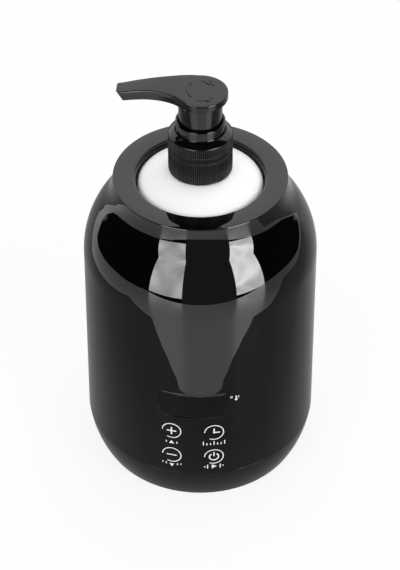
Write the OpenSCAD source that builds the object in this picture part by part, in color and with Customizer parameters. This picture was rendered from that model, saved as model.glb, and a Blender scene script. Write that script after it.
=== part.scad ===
// Massage oil warmer: a gloss shell round a heated cup, in which a pump bottle stands.
// Millimetres. The origin is on the body's axis at the surface it stands on, +Z up.
// The control panel faces -Y and the pump's nozzle points along -X.

/* [Body] */
// Height from the surface to the top of the ring
body_h = 177.8; // [170:0.1:200]
// Outer radius of the top ring where its side stands upright
ring_r = 45.2; // [44:0.1:47]
// Height of the top ring
ring_h = 7; // [6.5:0.1:9]
// How much narrower the body is where the shoulder begins than at the seam
side_taper = 1.1; // [0.2:0.1:2]
// Radius of the bend in the shoulder
shoulder_bend_r = 51.7; // [40:0.1:60]
// Radius of the hollow sweep from the shoulder up to the ring's edge
sweep_r = 23.7; // [18:0.1:32]
// Distance from the top of the ring down to where the sweep ends upright
sweep_drop = 1.5; // [1.2:0.1:3]
// Radius of the body at the seam between shell and base
seam_r = 62.2; // [60.5:0.1:66]
// Height of the seam above the surface
seam_z = 23; // [18:0.1:26]
// Radius of the bend in the base's side
base_bend_r = 61.6; // [50:0.2:110]
// Slope of the base's side just below the seam, from the vertical
base_lean = 5.5; // [4:0.5:12]
// Radius of the base's bottom edge
base_edge_r = 1; // [0.5:0.1:3]
// Wall of the shell and the base
wall = 2.5; // [2:0.1:3]

/* [Cup] */
// Height of the cup's floor above the surface
cup_floor_z = 34; // [31:0.5:42]
// Wall of the cup
cup_wall = 1; // [0.8:0.1:1.4]
// Width of the flange that the cup hangs by
cup_flange_w = 2.8; // [2.2:0.1:3.2]
// Gap between the bottle and the cup
bottle_gap = 0.8; // [0.4:0.1:1.2]
// Thickness of the gasket under the cup's flange
gasket_t = 0.8; // [0.5:0.1:1.2]
// Length of the heater round the cup
heater_h = 52; // [30:1:80]
// Thickness of the heater
heater_t = 1.2; // [0.8:0.1:1.6]
// Gap between the insulation and the parts on the board's back
insulation_gap = 4.9; // [3:0.1:7]

/* [Panel] */
// Width of the display window
window_w = 35.7; // [28:0.1:40]
// Height of the display window
window_h = 17; // [14:0.1:20]
// Corner radius of the display window
window_corner_r = 2.5; // [1:0.1:4]
// Height of the window's middle above the surface
window_z = 73; // [70:0.5:78]
// How far the window's face lies back from the shell's
window_recess = 0.4; // [0.2:0.1:0.8]
// Angle of each column of keys from the panel's middle
key_angle = 10.6; // [9:0.1:13]
// Height of the upper row of keys above the surface
key_upper_z = 53.7; // [50:0.1:56]
// Height of the lower row of keys above the surface
key_lower_z = 35.7; // [34:0.1:38]
// Thickness of the circuit board
board_t = 1.6; // [1:0.1:2]
// Distance of the board's front face from the inside of the shell at the panel's middle
board_inset = 10.4; // [9.5:0.1:11.5]

/* [Bottle] */
// Outer radius of the bottle
bottle_r = 32.2; // [30:0.1:33]
// Wall of the bottle
bottle_wall = 1.2; // [0.8:0.1:2]
// Radius of the edge between the bottle's side and its shoulder
bottle_edge_r = 5.3; // [4:0.1:7]
// Radius of the bottle's domed shoulder
bottle_dome_r = 40.5; // [38:0.5:42]
// How far the bottle's side ends below the top of the ring
bottle_drop = 5.9; // [4:0.1:8]
// Outer radius of the bottle's neck
neck_r = 13.1; // [12.8:0.1:13.3]
// Radius of the bottle's mouth
mouth_r = 10.9; // [10:0.1:11.2]
// Height of the neck above the closure's lower edge
neck_h = 11.3; // [10.5:0.1:12]

/* [Pump] */
// Outer radius of the closure over its ribs
closure_r = 16.35; // [16:0.05:18]
// Height of the closure's side
closure_h = 21.8; // [21:0.1:23]
// Number of ribs round the closure
closure_ribs = 100; // [60:2:110]
// Depth of the grooves between the ribs
rib_depth = 0.4; // [0.2:0.05:0.5]
// Outer radius of the lock collar
collar_r = 12.5; // [12.3:0.05:12.8]
// Height of the lock collar above the closure's side
collar_rise = 7.7; // [6.5:0.1:9]
// Wall of the lock collar
collar_wall = 1.1; // [0.9:0.05:1.2]
// How far the head can be pressed down
stroke = 12.5; // [8:0.5:12.5]
// Radius of the pump's cylinder
cylinder_r = 6; // [5.5:0.1:6.5]
// Wall of the pump's cylinder
cylinder_wall = 1; // [0.8:0.1:1.4]
// Radius of the stem
stem_r = 3.5; // [3.3:0.1:3.8]
// Outer radius of the dip tube
tube_r = 3; // [2.5:0.1:3.2]
// Wall of the dip tube
tube_wall = 0.8; // [0.5:0.1:1]
// Radius of the check ball
ball_r = 2.5; // [2.2:0.1:2.5]
// Mean radius of the pump's spring
spring_r = 4; // [3.9:0.05:4.3]
// Thickness of the spring's wire
spring_wire = 0.9; // [0.6:0.05:1]
// Number of curls in the spring
spring_curls = 8; // [6:1:9]

/* [Head] */
// Radius of the round part of the head
head_r = 13.75; // [13:0.05:15]
// Thickness of the round part of the head
head_t = 3.8; // [3:0.1:5]
// Outer radius of the head's skirt
skirt_r = 11; // [10.6:0.05:11.1]
// Reach of the nozzle from the pump's axis
nozzle_reach = 40.3; // [34:0.1:48]
// Height of the nozzle's arch above the head's flat top
nozzle_arch = 3.4; // [1:0.1:5]
// Half the width of the nozzle at its tip
nozzle_tip_w = 3.2; // [2.8:0.1:4]
// Radius of the channel through the nozzle
channel_r = 1.3; // [1:0.05:1.4]

/* [Fittings] */
// How far the feet stand out below the base
foot_show = 0.5; // [0.5:0.1:1.5]
// Radius of a foot
foot_r = 6.5; // [6:0.1:7]
// Radius of the circle that the base's screws and feet lie on
foot_circle_r = 46.5; // [45:0.1:47]
// Height of the DC socket's axis above the seam
jack_rise = 15; // [14.7:0.1:20]
// Radius of the DC socket's bore
jack_bore_r = 2.9; // [2.8:0.05:3.1]
// Radius of the DC socket's centre pin
jack_pin_r = 1; // [0.8:0.05:1.25]
// Radius of a self-tapping screw's shank
screw_r = 1.25; // [1:0.05:1.4]

/* [Hidden] */
$fn = 96;

// Clearances that the fits share
running_gap = 0.06;
press_gap = 0.02;
part_gap = 0.3;
lap_gap = 0.1;
eps = 0.01;

black_gloss = "#131315";
black_satin = "#2a2a2d";
steel = "#b9bcc0";
wire_insulation = "#8f1f1f";

// Levels of the body, from the surface up
base_z = foot_show;
shell_top_z = body_h - ring_h;
shoulder_r = seam_r - side_taper;
sweep_axis = [ring_r + sweep_r, body_h - sweep_drop];
shoulder_lean = acos(1 - (shoulder_r - ring_r) / (shoulder_bend_r + sweep_r));
shoulder_z = sweep_axis[1] - (shoulder_bend_r + sweep_r) * sin(shoulder_lean);
flange_t = wall;
floor_top_z = base_z + wall;

// The cup and what clamps it
cup_r = bottle_r + bottle_gap;
cup_out_r = cup_r + cup_wall;
cup_bottom_z = cup_floor_z - cup_wall;
cup_flange_r = cup_out_r + cup_flange_w;
cup_flange_z = shell_top_z + gasket_t;
cup_top_z = cup_flange_z + cup_wall;
cup_corner_r = 3;
shell_bore_r = cup_out_r + 0.6;
ring_bore_r = cup_r + 0.9;
ring_lip_t = 2.9;
ring_recess_r = cup_flange_r + 0.2;
ring_screw_circle_r = (ring_recess_r + ring_r) / 2 - 0.4;
ring_screw_angles = [90, 210, 330];

// The base's side, an arc that leans in below the seam, and the base's fittings
base_axis = [seam_r - base_bend_r * cos(base_lean), seam_z + base_bend_r * sin(base_lean)];
spigot_h = 4;
spigot_root_h = 6;
spigot_r = seam_r - wall - 0.25;
screw_head_r = 2.8;
screw_head_t = 1.8;
foot_angles = [45, 135, 225, 315];
foot_recess_t = 1.2;
base_screw_seat_z = base_z + 7.2;
base_post_r = 4.6;
shell_post_r = 4.2;
base_post_top_z = seam_z - 2.4;
shell_post_top_z = seam_z + 14;
carrier_angles = [0, 120, 240];
carrier_pad_z = floor_top_z + 4;
carrier_pad_t = 4;
carrier_pad_r = 4.5;
carrier_ring_t = 4;
carrier_lip_t = 1.6;
carrier_lip_h = 4;
carrier_lip_r = cup_out_r + 0.2;
carrier_out_r = carrier_lip_r + carrier_lip_t;
carrier_circle_r = carrier_out_r + 4.2;
carrier_screw_bite = 5;

// The heater, the insulation and the sensors bonded to the cup's side below the heater
heater_z = cup_floor_z + 12;
heater_sweep = 348;
heater_out_r = cup_out_r + lap_gap + heater_t;
insulation_z = heater_z + 3;
insulation_top_z = shell_top_z - flange_t - screw_head_t - 8.8;
sensor_z = cup_bottom_z + carrier_lip_h + 0.5;
sensor_h = heater_z - sensor_z - 0.6;
thermistor_angle = -90;
thermistor_t = 2;

// The board and what it carries: each part on its back is as long, as deep, as tall, and at x and z
board_w = 54;
board_y = seam_r - wall - board_inset;
board_bottom_z = seam_z - 6.7;
board_top_z = window_z + window_h / 2 + 8.5;
board_back_y = board_y - board_t;
board_boss_r = 3;
board_screw_x = board_w / 2 - 4;
board_screw_zs = [seam_z + spigot_h + board_boss_r + part_gap, board_top_z - 4];
board_screw_bite = 4.5;
controller_size = [13, 1.9, 8];
controller_at = [-8, window_z - 13];
transistor_size = [10, 4.5, 9];
transistor_tab = [10, 1.3, 13];
transistor_at = [15, controller_at[1] - 14];
buzzer_at = [-8, transistor_at[1]];
buzzer_r = 6;
buzzer_t = 5.5;
connector_size = [8, 5.5, 6];
connector_xs = [-11, 0, 11];
connector_z = board_bottom_z + 5;
connector_end_y = connector_size[1] - board_back_y;
insulation_out_r = board_back_y - controller_size[1] - insulation_gap;
display_w = 30.4;
display_h = 14;
window_lap = 2;
window_t = 1.8;
window_back_r = side_r(window_z + window_h / 2) - wall - lap_gap - window_t;
display_d = sqrt(pow(window_back_r, 2) - pow(display_w / 2, 2)) - part_gap - board_y;
key_zs = [key_lower_z, key_upper_z];

// The DC socket, on the back of the shell
jack_z = seam_z + jack_rise;
jack_body_r = 5.5;
jack_flange_r = 6.8;
jack_flange_t = 1.5;
jack_depth = 9.5;
jack_pad_r = 10;
jack_nut_r = 8.4;
jack_nut_t = 2.5;
jack_body_l = 12;
jack_tab_x = 2.6;
jack_tab_l = 3.5;
jack_tab_h = 3;
jack_inner_y = side_r(jack_z) - wall - 1.2;
jack_outer_y = side_r(jack_z) - jack_flange_t - part_gap;
jack_back_y = jack_inner_y - jack_body_l;

// The bottle
bottle_foot_z = cup_floor_z;
bottle_foot_r = 4;
bottle_edge_z = body_h - bottle_drop;
dome_start = 54;
dome_end = 76;
dome_start_r = bottle_r - bottle_edge_r * (1 - cos(dome_start));
dome_start_z = bottle_edge_z + bottle_edge_r * sin(dome_start);
dome_axis = [dome_start_r - bottle_dome_r * cos(dome_start), dome_start_z - bottle_dome_r * sin(dome_start)];
dome_top_z = dome_axis[1] + bottle_dome_r * sin(dome_end);

// Levels of the pump, from the closure up and down
closure_z = dome_top_z + 0.6;
closure_top_z = closure_z + closure_h;
closure_cone_h = 2.6;
closure_roof_z = closure_top_z - 1.6;
closure_bore_r = neck_r + 1.2;
closure_foot_h = 2.7;
closure_hole_r = collar_r + part_gap;
closure_line_zs = [closure_top_z - 9.5, closure_top_z - 5.9];
neck_top_z = closure_z + neck_h;
neck_gasket_t = 1;
housing_flange_r = closure_bore_r - 0.7;
housing_flange_z = neck_top_z + neck_gasket_t;
housing_flange_t = 1.5;
collar_foot_z = housing_flange_z + housing_flange_t;
collar_floor_t = 1.2;
collar_floor_z = collar_foot_z + collar_floor_t;
collar_top_z = closure_top_z + collar_rise;
collar_flange_r = closure_bore_r - part_gap;
collar_flange_t = 1.4;
collar_flange_z = closure_roof_z - lap_gap - collar_flange_t;
plug_r = cylinder_r - 0.05;
plug_h = 6;
plug_foot_z = collar_floor_z - plug_h;

// The head's levels: the skirt stops just above the collar's floor when pressed
head_gap = 0.7;
skirt_foot_z = collar_floor_z + stroke + part_gap;
head_z = collar_top_z + stroke + head_gap;
head_top_z = head_z + head_t;
skirt_wall = 1.1;
socket_r = stem_r + 1.7;
socket_depth_z = head_z - 2.2;
socket_foot_z = skirt_foot_z + 1;

// The piston, the stem's shoulders, the spring and the ball's cage
piston_gap = 0.05;
piston_h = 5.7;
piston_top_z = plug_foot_z - 0.6;
piston_foot_z = piston_top_z - piston_h;
piston_lip_h = 1.1;
stem_waist_r = stem_r - 0.6;
stem_bore_r = stem_r - 1.6;
stem_shoulder_z = piston_top_z + part_gap;
stem_collar_r = min(spring_r + spring_wire / 2 + 0.1, cylinder_r - 0.5);
stem_collar_top_z = piston_foot_z - part_gap;
stem_collar_t = 1.2;
spring_top_z = stem_collar_top_z - stem_collar_t;
spring_solid_h = (spring_curls + 1) * spring_wire;
spring_h = stroke + spring_solid_h + 2.4;
spring_seat_z = spring_top_z - spring_h;
spring_end_pitch = spring_wire + 0.5;
cage_r = ball_r + 0.5;
cage_h = 2 * ball_r + 2.2;
cage_foot_z = spring_seat_z - cage_h;
cage_hole_r = ball_r * 0.6;
cage_nib_r = ball_r - 0.3;
ball_seat_gap = 0.02;
ball_z = cage_foot_z - cage_r + ball_r * sqrt(2) + ball_seat_gap;
tube_top_z = cage_foot_z - 2.6;
tail_r = tube_r + 1.3;
tail_foot_z = tube_top_z - 10;
tube_foot_z = bottle_foot_z + bottle_wall + 1.8;

// Radii of the leads, and their routes as chosen points
power_wire_r = 0.9;
sensor_wire_r = 0.6;

// Points of an arc about c, from angle a0 to angle a1
function arc(c, r, a0, a1, steps = 14) =
    [for (i = [0:steps]) let (a = a0 + (a1 - a0) * i / steps) c + r * [cos(a), sin(a)]];

function backwards(list) = [for (i = [len(list) - 1:-1:0]) list[i]];
function unit(v) = v / norm(v);

// The shell's side as a radius at height z, below the shoulder
function side_r(z) = seam_r + (shoulder_r - seam_r) * (z - seam_z) / (shoulder_z - seam_z);

// Slope of the sweep at height z, from the vertical, where its outline is moved in by t
function sweep_angle(z, t = 0) = asin((sweep_axis[1] - z) / (sweep_r + t));

// The shell's outline from the seam up, moved in by t and ended at height top_z
function shell_line(t, top_z) =
    concat(
        [[seam_r - t, seam_z]],
        arc([shoulder_r - shoulder_bend_r, shoulder_z], shoulder_bend_r - t, 0, shoulder_lean, 12),
        arc(sweep_axis, sweep_r + t, 180 + shoulder_lean - 2, 180 + sweep_angle(top_z, t), 6)
    );

// Angle of the base's arc below its axis, where its radius is r and its height z
function base_angle(z, r) = asin((base_axis[1] - z) / r);

// The bottle's outline from the foot to the dome's end, moved in by t
function bottle_line(t) =
    concat(
        arc([bottle_r - bottle_foot_r, bottle_foot_z + bottle_foot_r], bottle_foot_r - t, -90, 0, 6),
        arc([bottle_r - bottle_edge_r, bottle_edge_z], bottle_edge_r - t, 0, dome_start, 8),
        arc(dome_axis, bottle_dome_r - t, dome_start + 2, dome_end, 8)
    );

// Sweeps: a direction is carried along the path so that the rings don't twist
function tangent(path, i) = unit(path[min(i + 1, len(path) - 1)] - path[max(i - 1, 0)]);
function carried(path, i, n) =
    i == len(path) ? [] :
    let (t = tangent(path, i), m = unit(n - (n * t) * t)) concat([m], carried(path, i + 1, m));

// Closed solid through a list of rings with equal numbers of points, as triangles
module loft(rings) {
    n = len(rings[0]);
    last = len(rings) - 1;
    points = [for (ring = rings) each ring];
    sides = [
        for (i = [0:last - 1], j = [0:n - 1])
            let (a = i * n + j, b = i * n + (j + 1) % n)
                each [[a, b, b + n], [a, b + n, a + n]]
    ];
    caps = [for (j = [1:n - 2]) each [[0, j + 1, j], [last * n, last * n + j, last * n + j + 1]]];
    polyhedron(points, concat(sides, caps));
}

// Round tube of radius r along a path
module tube(path, r, sides = 8) {
    normals = carried(path, 0, [0.31, 0.53, 0.79]);
    loft([
        for (i = [0:len(path) - 1])
            let (t = tangent(path, i), u = normals[i], v = cross(u, t))
                [for (k = [0:sides - 1]) path[i] + r * (cos(360 * k / sides) * u + sin(360 * k / sides) * v)]
    ]);
}

// Smooth path through chosen points, with the given number of steps between each two
function smooth(points, steps = 6) =
    let (last = len(points) - 1)
    concat(
        [
            for (i = [0:last - 1], s = [0:steps - 1])
                let (
                    t = s / steps,
                    p0 = points[max(i - 1, 0)],
                    p1 = points[i],
                    p2 = points[i + 1],
                    p3 = points[min(i + 2, last)]
                )
                    (2 * p1 + (p2 - p0) * t + (2 * p0 - 5 * p1 + 4 * p2 - p3) * t * t
                        + (3 * p1 - p0 - 3 * p2 + p3) * t * t * t) / 2
        ],
        [points[last]]
    );

// Centre line of a coil spring along +Z with its two end curls closer together
function coil_z(turn, curls, h, end_pitch) =
    turn <= 1 ? turn * end_pitch :
    turn >= curls - 1 ? h - (curls - turn) * end_pitch :
    end_pitch + (turn - 1) * (h - 2 * end_pitch) / (curls - 2);
function coil(r, curls, h, end_pitch, rings = 8) =
    [
        for (i = [0:curls * rings])
            let (turn = i / rings, a = 360 * turn)
                [r * cos(a), r * sin(a), coil_z(turn, curls, h, end_pitch)]
    ];

// Least gap between a coil's curls, from points more than half a turn apart
function coil_gap(path, wire, rings = 8) =
    min([
        for (i = [0:len(path) - 1], j = [i + rings / 2:1:len(path) - 1])
            norm(path[i] - path[j])
    ]) - wire;

module ring_of(angles, r) {
    for (a = angles)
        rotate(a) translate([r, 0, 0]) children();
}

// Pan-head screw pointing up: its head lies below z = 0 and its shank above
module screw(length) {
    translate([0, 0, -screw_head_t]) cylinder(r = screw_head_r, h = screw_head_t);
    cylinder(r = screw_r - lap_gap, h = length);
}

module rounded_rect(w, h, r) {
    square([w - 2 * r, h], center = true);
    square([w, h - 2 * r], center = true);
    for (x = [-1, 1], y = [-1, 1])
        translate([x * (w / 2 - r), y * (h / 2 - r)]) circle(r);
}

// Rounded block through the shell's front, centred on the display window
module window_prism(grow) {
    translate([0, 0, window_z])
        rotate([90, 0, 0])
            linear_extrude(seam_r + 10)
                rounded_rect(window_w + 2 * grow, window_h + 2 * grow, window_corner_r + grow);
}

// Band of the shell's side between two depths below its surface
module side_band(depth, t, z0, z1) {
    rotate_extrude()
        polygon([
            [side_r(z0) - depth - t, z0], [side_r(z0) - depth, z0],
            [side_r(z1) - depth, z1], [side_r(z1) - depth - t, z1],
        ]);
}

module shell_solid() {
    rotate_extrude()
        polygon(concat([[0, seam_z]], shell_line(0, shell_top_z), [[0, shell_top_z]]));
}

module along_y(r, y0, y1, x = 0, z = 0) {
    translate([x, y0, z]) rotate([-90, 0, 0]) cylinder(r = r, h = y1 - y0);
}

// Bosses inside the shell: board bosses at the front, screw posts at the foot, a pad for the socket
module shell_bosses() {
    intersection() {
        union() {
            for (x = [-1, 1], z = board_screw_zs)
                along_y(board_boss_r, -side_r(z) + wall / 2, -board_y, x * board_screw_x, z);
            ring_of(foot_angles, foot_circle_r)
                translate([0, 0, base_post_top_z + lap_gap])
                    cylinder(r = shell_post_r, h = shell_post_top_z - base_post_top_z - lap_gap);
            ring_of(foot_angles, foot_circle_r)
                translate([0, -1, seam_z + spigot_h + part_gap])
                    cube([seam_r - foot_circle_r - 1, 2, shell_post_top_z - seam_z - spigot_h - part_gap]);
            along_y(jack_pad_r, jack_inner_y, seam_r, 0, jack_z);
        }
        translate([0, 0, -seam_z])
            union() {
                translate([0, 0, seam_z]) shell_solid();
                cylinder(r = foot_circle_r + shell_post_r + 1, h = 2 * seam_z);
            }
    }
}
module outer_shell() {
    inner_top_z = shell_top_z - flange_t;
    color(black_gloss)
        difference() {
            union() {
                rotate_extrude()
                    polygon(concat(
                        shell_line(0, shell_top_z),
                        [[shell_bore_r, shell_top_z], [shell_bore_r, inner_top_z]],
                        backwards(shell_line(wall, inner_top_z))
                    ));
                shell_bosses();
            }
            window_prism(0);
            ring_of(ring_screw_angles, ring_screw_circle_r)
                translate([0, 0, inner_top_z - 1]) cylinder(r = screw_r + part_gap, h = flange_t + 2);
            for (x = [-1, 1], z = board_screw_zs)
                along_y(screw_r, -board_y - 5, -board_y + 1, x * board_screw_x, z);
            ring_of(foot_angles, foot_circle_r)
                cylinder(r = screw_r, h = shell_post_top_z - 2);
            along_y(jack_body_r + lap_gap, jack_inner_y - 1, seam_r + 1, 0, jack_z);
            along_y(jack_flange_r + part_gap, jack_outer_y, seam_r + 1, 0, jack_z);
        }
}

module top_ring() {
    edge_r = 1;
    chamfer = 0.6;
    lip_top_z = cup_top_z + ring_lip_t;
    groove_in_r = ring_recess_r + 1.4;
    groove_out_r = ring_r - 1.8;
    groove_h = 3;
    color(black_satin)
        difference() {
            rotate_extrude()
                polygon(concat(
                    arc(sweep_axis, sweep_r, 180 + sweep_angle(shell_top_z), 180, 5),
                    arc([ring_r - edge_r, body_h - edge_r], edge_r, 0, 90, 6),
                    [
                        [ring_bore_r + chamfer, body_h], [ring_bore_r, body_h - chamfer],
                        [ring_bore_r, lip_top_z], [cup_r, lip_top_z],
                        [cup_r, cup_top_z], [ring_recess_r, cup_top_z], [ring_recess_r, shell_top_z],
                    ]
                ));
            difference() {
                translate([0, 0, shell_top_z - 1])
                    difference() {
                        cylinder(r = groove_out_r, h = groove_h + 1);
                        translate([0, 0, -1]) cylinder(r = groove_in_r, h = groove_h + 3);
                    }
                ring_of(ring_screw_angles, ring_screw_circle_r)
                    translate([0, 0, shell_top_z - 2]) cylinder(r = screw_r + 2, h = groove_h + 3);
            }
            ring_of(ring_screw_angles, ring_screw_circle_r)
                translate([0, 0, shell_top_z - 1]) cylinder(r = screw_r, h = ring_h - 1);
        }
}

module base_shell() {
    inner_r = base_bend_r - wall;
    low_angle = asin((base_axis[1] - base_z - base_edge_r) / (base_bend_r - base_edge_r));
    edge_axis = base_axis + (base_bend_r - base_edge_r) * [cos(low_angle), -sin(low_angle)];
    color(black_gloss)
        difference() {
            union() {
                rotate_extrude()
                    polygon(concat(
                        [[0, base_z]],
                        arc(edge_axis, base_edge_r, -90, -low_angle, 5),
                        arc(base_axis, base_bend_r, -low_angle, -base_lean, 10),
                        backwards(arc(
                            base_axis, inner_r, -base_angle(floor_top_z, inner_r), -base_angle(seam_z, inner_r), 10
                        )),
                        [[0, floor_top_z]]
                    ));
                rotate_extrude()
                    translate([spigot_r - 2, seam_z - spigot_root_h]) square([2, spigot_root_h + spigot_h]);
                ring_of(foot_angles, foot_circle_r)
                    translate([0, 0, base_z + eps]) cylinder(r = base_post_r, h = base_post_top_z - base_z - eps);
                ring_of(carrier_angles, carrier_circle_r)
                    translate([0, 0, base_z + eps]) cylinder(r = screw_r + 2.2, h = carrier_pad_z - base_z - eps);
            }
            ring_of(foot_angles, foot_circle_r) {
                translate([0, 0, base_z - 1]) cylinder(r = foot_r + lap_gap, h = foot_recess_t + 1);
                cylinder(r = screw_head_r + part_gap, h = base_screw_seat_z);
                cylinder(r = screw_r + part_gap, h = seam_z);
            }
            ring_of(carrier_angles, carrier_circle_r)
                translate([0, 0, base_z + 1.5]) cylinder(r = screw_r, h = carrier_pad_z);
        }
}

module display_window() {
    z0 = window_z - window_h / 2 - window_lap - 1;
    z1 = window_z + window_h / 2 + window_lap + 1;
    color([0.05, 0.05, 0.06, 0.85]) {
        intersection() {
            side_band(window_recess, wall - window_recess + window_t / 2, z0, z1);
            window_prism(-lap_gap);
        }
        intersection() {
            side_band(wall + lap_gap, window_t, z0, z1);
            window_prism(window_lap);
        }
    }
}

module heating_cup() {
    color("#b5b8ba")
        rotate_extrude()
            polygon(concat(
                [[0, cup_bottom_z]],
                arc([cup_r - cup_corner_r, cup_floor_z + cup_corner_r], cup_corner_r + cup_wall, -90, 0, 6),
                [
                    [cup_out_r, cup_flange_z], [cup_flange_r, cup_flange_z],
                    [cup_flange_r, cup_top_z], [cup_r, cup_top_z],
                ],
                backwards(arc([cup_r - cup_corner_r, cup_floor_z + cup_corner_r], cup_corner_r, -90, 0, 6)),
                [[0, cup_floor_z]]
            ));
}

module cup_gasket() {
    color("#7a2d22")
        rotate_extrude()
            translate([shell_bore_r + 0.2, shell_top_z])
                square([cup_flange_r - shell_bore_r - 0.4, gasket_t]);
}

module heater_band() {
    color("#b4531f")
        rotate(-90 + (360 - heater_sweep) / 2)
            rotate_extrude(angle = heater_sweep)
                translate([cup_out_r + lap_gap, heater_z]) square([heater_t, heater_h]);
}

module insulation_sleeve() {
    inner_r = heater_out_r + part_gap;
    color("#d9d4c6")
        rotate_extrude()
            translate([inner_r, insulation_z])
                square([insulation_out_r - inner_r, insulation_top_z - insulation_z]);
}

// Ring under the cup's floor on three gusseted legs, which are screwed to the base
module cup_carrier() {
    ring_w = 12;
    leg_t = 3;
    under_z = cup_bottom_z - carrier_ring_t;
    leg_foot_r = carrier_circle_r - carrier_pad_r;
    color("#d8d6cf")
        difference() {
            union() {
                rotate_extrude()
                    polygon([
                        [cup_r - ring_w, under_z], [carrier_out_r, under_z],
                        [carrier_out_r, cup_bottom_z + carrier_lip_h], [carrier_lip_r, cup_bottom_z + carrier_lip_h],
                        [carrier_lip_r, cup_bottom_z], [cup_r - ring_w, cup_bottom_z],
                    ]);
                for (a = carrier_angles)
                    rotate(a)
                        rotate([90, 0, 0])
                            translate([0, 0, -leg_t / 2])
                                linear_extrude(leg_t)
                                    polygon([
                                        [cup_r - ring_w + 2, under_z + eps], [carrier_out_r - 1, under_z + eps],
                                        [carrier_circle_r, carrier_pad_z + 1], [leg_foot_r, carrier_pad_z],
                                    ]);
                ring_of(carrier_angles, carrier_circle_r)
                    translate([0, 0, carrier_pad_z]) cylinder(r = carrier_pad_r, h = carrier_pad_t);
            }
            ring_of(carrier_angles, carrier_circle_r) {
                cylinder(r = screw_r + part_gap, h = under_z);
                translate([0, 0, carrier_pad_z + carrier_pad_t]) cylinder(r = carrier_pad_r, h = 8);
            }
        }
}

module thermistor() {
    bead_w = 4;
    color("#20242c")
        rotate(thermistor_angle)
            translate([cup_out_r + lap_gap, -bead_w / 2, sensor_z])
                cube([thermistor_t, bead_w, sensor_h]);
}

module thermal_fuse() {
    fuse_r = 1.9;
    color("#c9c7bd")
        rotate(-45)
            translate([cup_out_r + fuse_r + lap_gap, 0, sensor_z]) cylinder(r = fuse_r, h = sensor_h);
}

module control_board() {
    color("#1d5a34")
        difference() {
            translate([-board_w / 2, -board_y, board_bottom_z])
                cube([board_w, board_t, board_top_z - board_bottom_z]);
            for (x = [-1, 1], z = board_screw_zs)
                along_y(screw_r + part_gap, -board_y - 1, -board_back_y + 1, x * board_screw_x, z);
        }
}

module display_module() {
    color("#e8e6e0")
        translate([-display_w / 2, -board_y - display_d, window_z - display_h / 2])
            cube([display_w, display_d, display_h]);
}

// One coil behind each key, from the board to the inside of the shell
module touch_springs() {
    coil_r = 3.6;
    wire = 0.6;
    x = side_r(key_upper_z) * sin(key_angle);
    color("#c8b273")
        for (side = [-1, 1], z = key_zs) {
            inner = side_r(z) - wall;
            reach = sqrt(inner * inner - pow(x + coil_r + wire, 2)) - board_y;
            path = coil(coil_r, 4, reach - wire - 2 * lap_gap, wire + 0.7);
            translate([side * x, -board_y - wire / 2 - lap_gap, z])
                rotate([90, 0, 0]) tube(path, wire / 2, 6);
        }
}

// A component on the board's back face: at is its middle in X and Z
module on_board(size, at) {
    translate([at[0] - size[0] / 2, -board_back_y, at[1] - size[2] / 2]) cube(size);
}

module microcontroller() {
    color("#1a1a1c") on_board(controller_size, controller_at);
}

module power_transistor() {
    color("#1a1a1c") {
        on_board(transistor_size, transistor_at);
        on_board(transistor_tab, transistor_at + [0, (transistor_tab[2] - transistor_size[2]) / 2]);
    }
}

module buzzer() {
    hole_r = 1;
    hole_h = 1.5;
    back_y = -board_back_y + buzzer_t;
    color("#111112")
        difference() {
            along_y(buzzer_r, -board_back_y, back_y, buzzer_at[0], buzzer_at[1]);
            along_y(hole_r, back_y - hole_h, back_y + 1, buzzer_at[0], buzzer_at[1]);
        }
}

module board_connectors() {
    color("#ece9df")
        for (x = connector_xs) on_board(connector_size, [x, connector_z]);
}

module dc_jack() {
    tab_t = 2;
    face_y = jack_outer_y + jack_flange_t;
    color(black_satin) {
        difference() {
            union() {
                along_y(jack_body_r, jack_back_y, face_y, 0, jack_z);
                along_y(jack_flange_r, jack_outer_y, face_y, 0, jack_z);
            }
            along_y(jack_bore_r, face_y - jack_depth, face_y + 1, 0, jack_z);
        }
        along_y(jack_pin_r, face_y - jack_depth - 1, face_y - 1, 0, jack_z);
        for (x = [-1, 1])
            translate([x * jack_tab_x - tab_t / 2, jack_back_y - jack_tab_l, jack_z - jack_tab_h / 2])
                cube([tab_t, jack_tab_l + 1, jack_tab_h]);
    }
}

module jack_nut() {
    color(steel)
        difference() {
            along_y(jack_nut_r, jack_inner_y - jack_nut_t, jack_inner_y, 0, jack_z, $fn = 6);
            along_y(jack_body_r + lap_gap, jack_inner_y - jack_nut_t - 1, jack_inner_y + 1, 0, jack_z);
        }
}

// A pair of wires along a route moved apart both ways: straight at both ends and smooth between
module wire_pair(route, apart, r) {
    last = len(route) - 1;
    path = concat([route[0]], smooth([for (i = [1:last - 1]) route[i]]), [route[last]]);
    for (side = [-1, 1])
        tube([for (p = path) p + side * apart], r);
}

// From the underside of the socket's tabs down to the base's floor, across it and up to the board
module power_leads() {
    start_y = jack_back_y - jack_tab_l / 2;
    start_z = jack_z - jack_tab_h / 2 - lap_gap;
    lead_z = floor_top_z + 4.9;
    color(wire_insulation)
        wire_pair([
            [0, start_y, start_z], [0, start_y, start_z - 2], [0, start_y - 0.6, cup_bottom_z - carrier_ring_t - 5],
            [0, carrier_out_r - 2, lead_z + 3], [0, carrier_out_r - 14, lead_z], [0, 14 - carrier_out_r, lead_z],
            [0, 3 - carrier_out_r, lead_z + 2.5], [0, connector_end_y + 3.4, connector_z - 3.6],
            [0, connector_end_y + 1.6, connector_z], [0, connector_end_y + lap_gap, connector_z],
        ], [jack_tab_x, 0, 0], power_wire_r);
}

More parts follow.
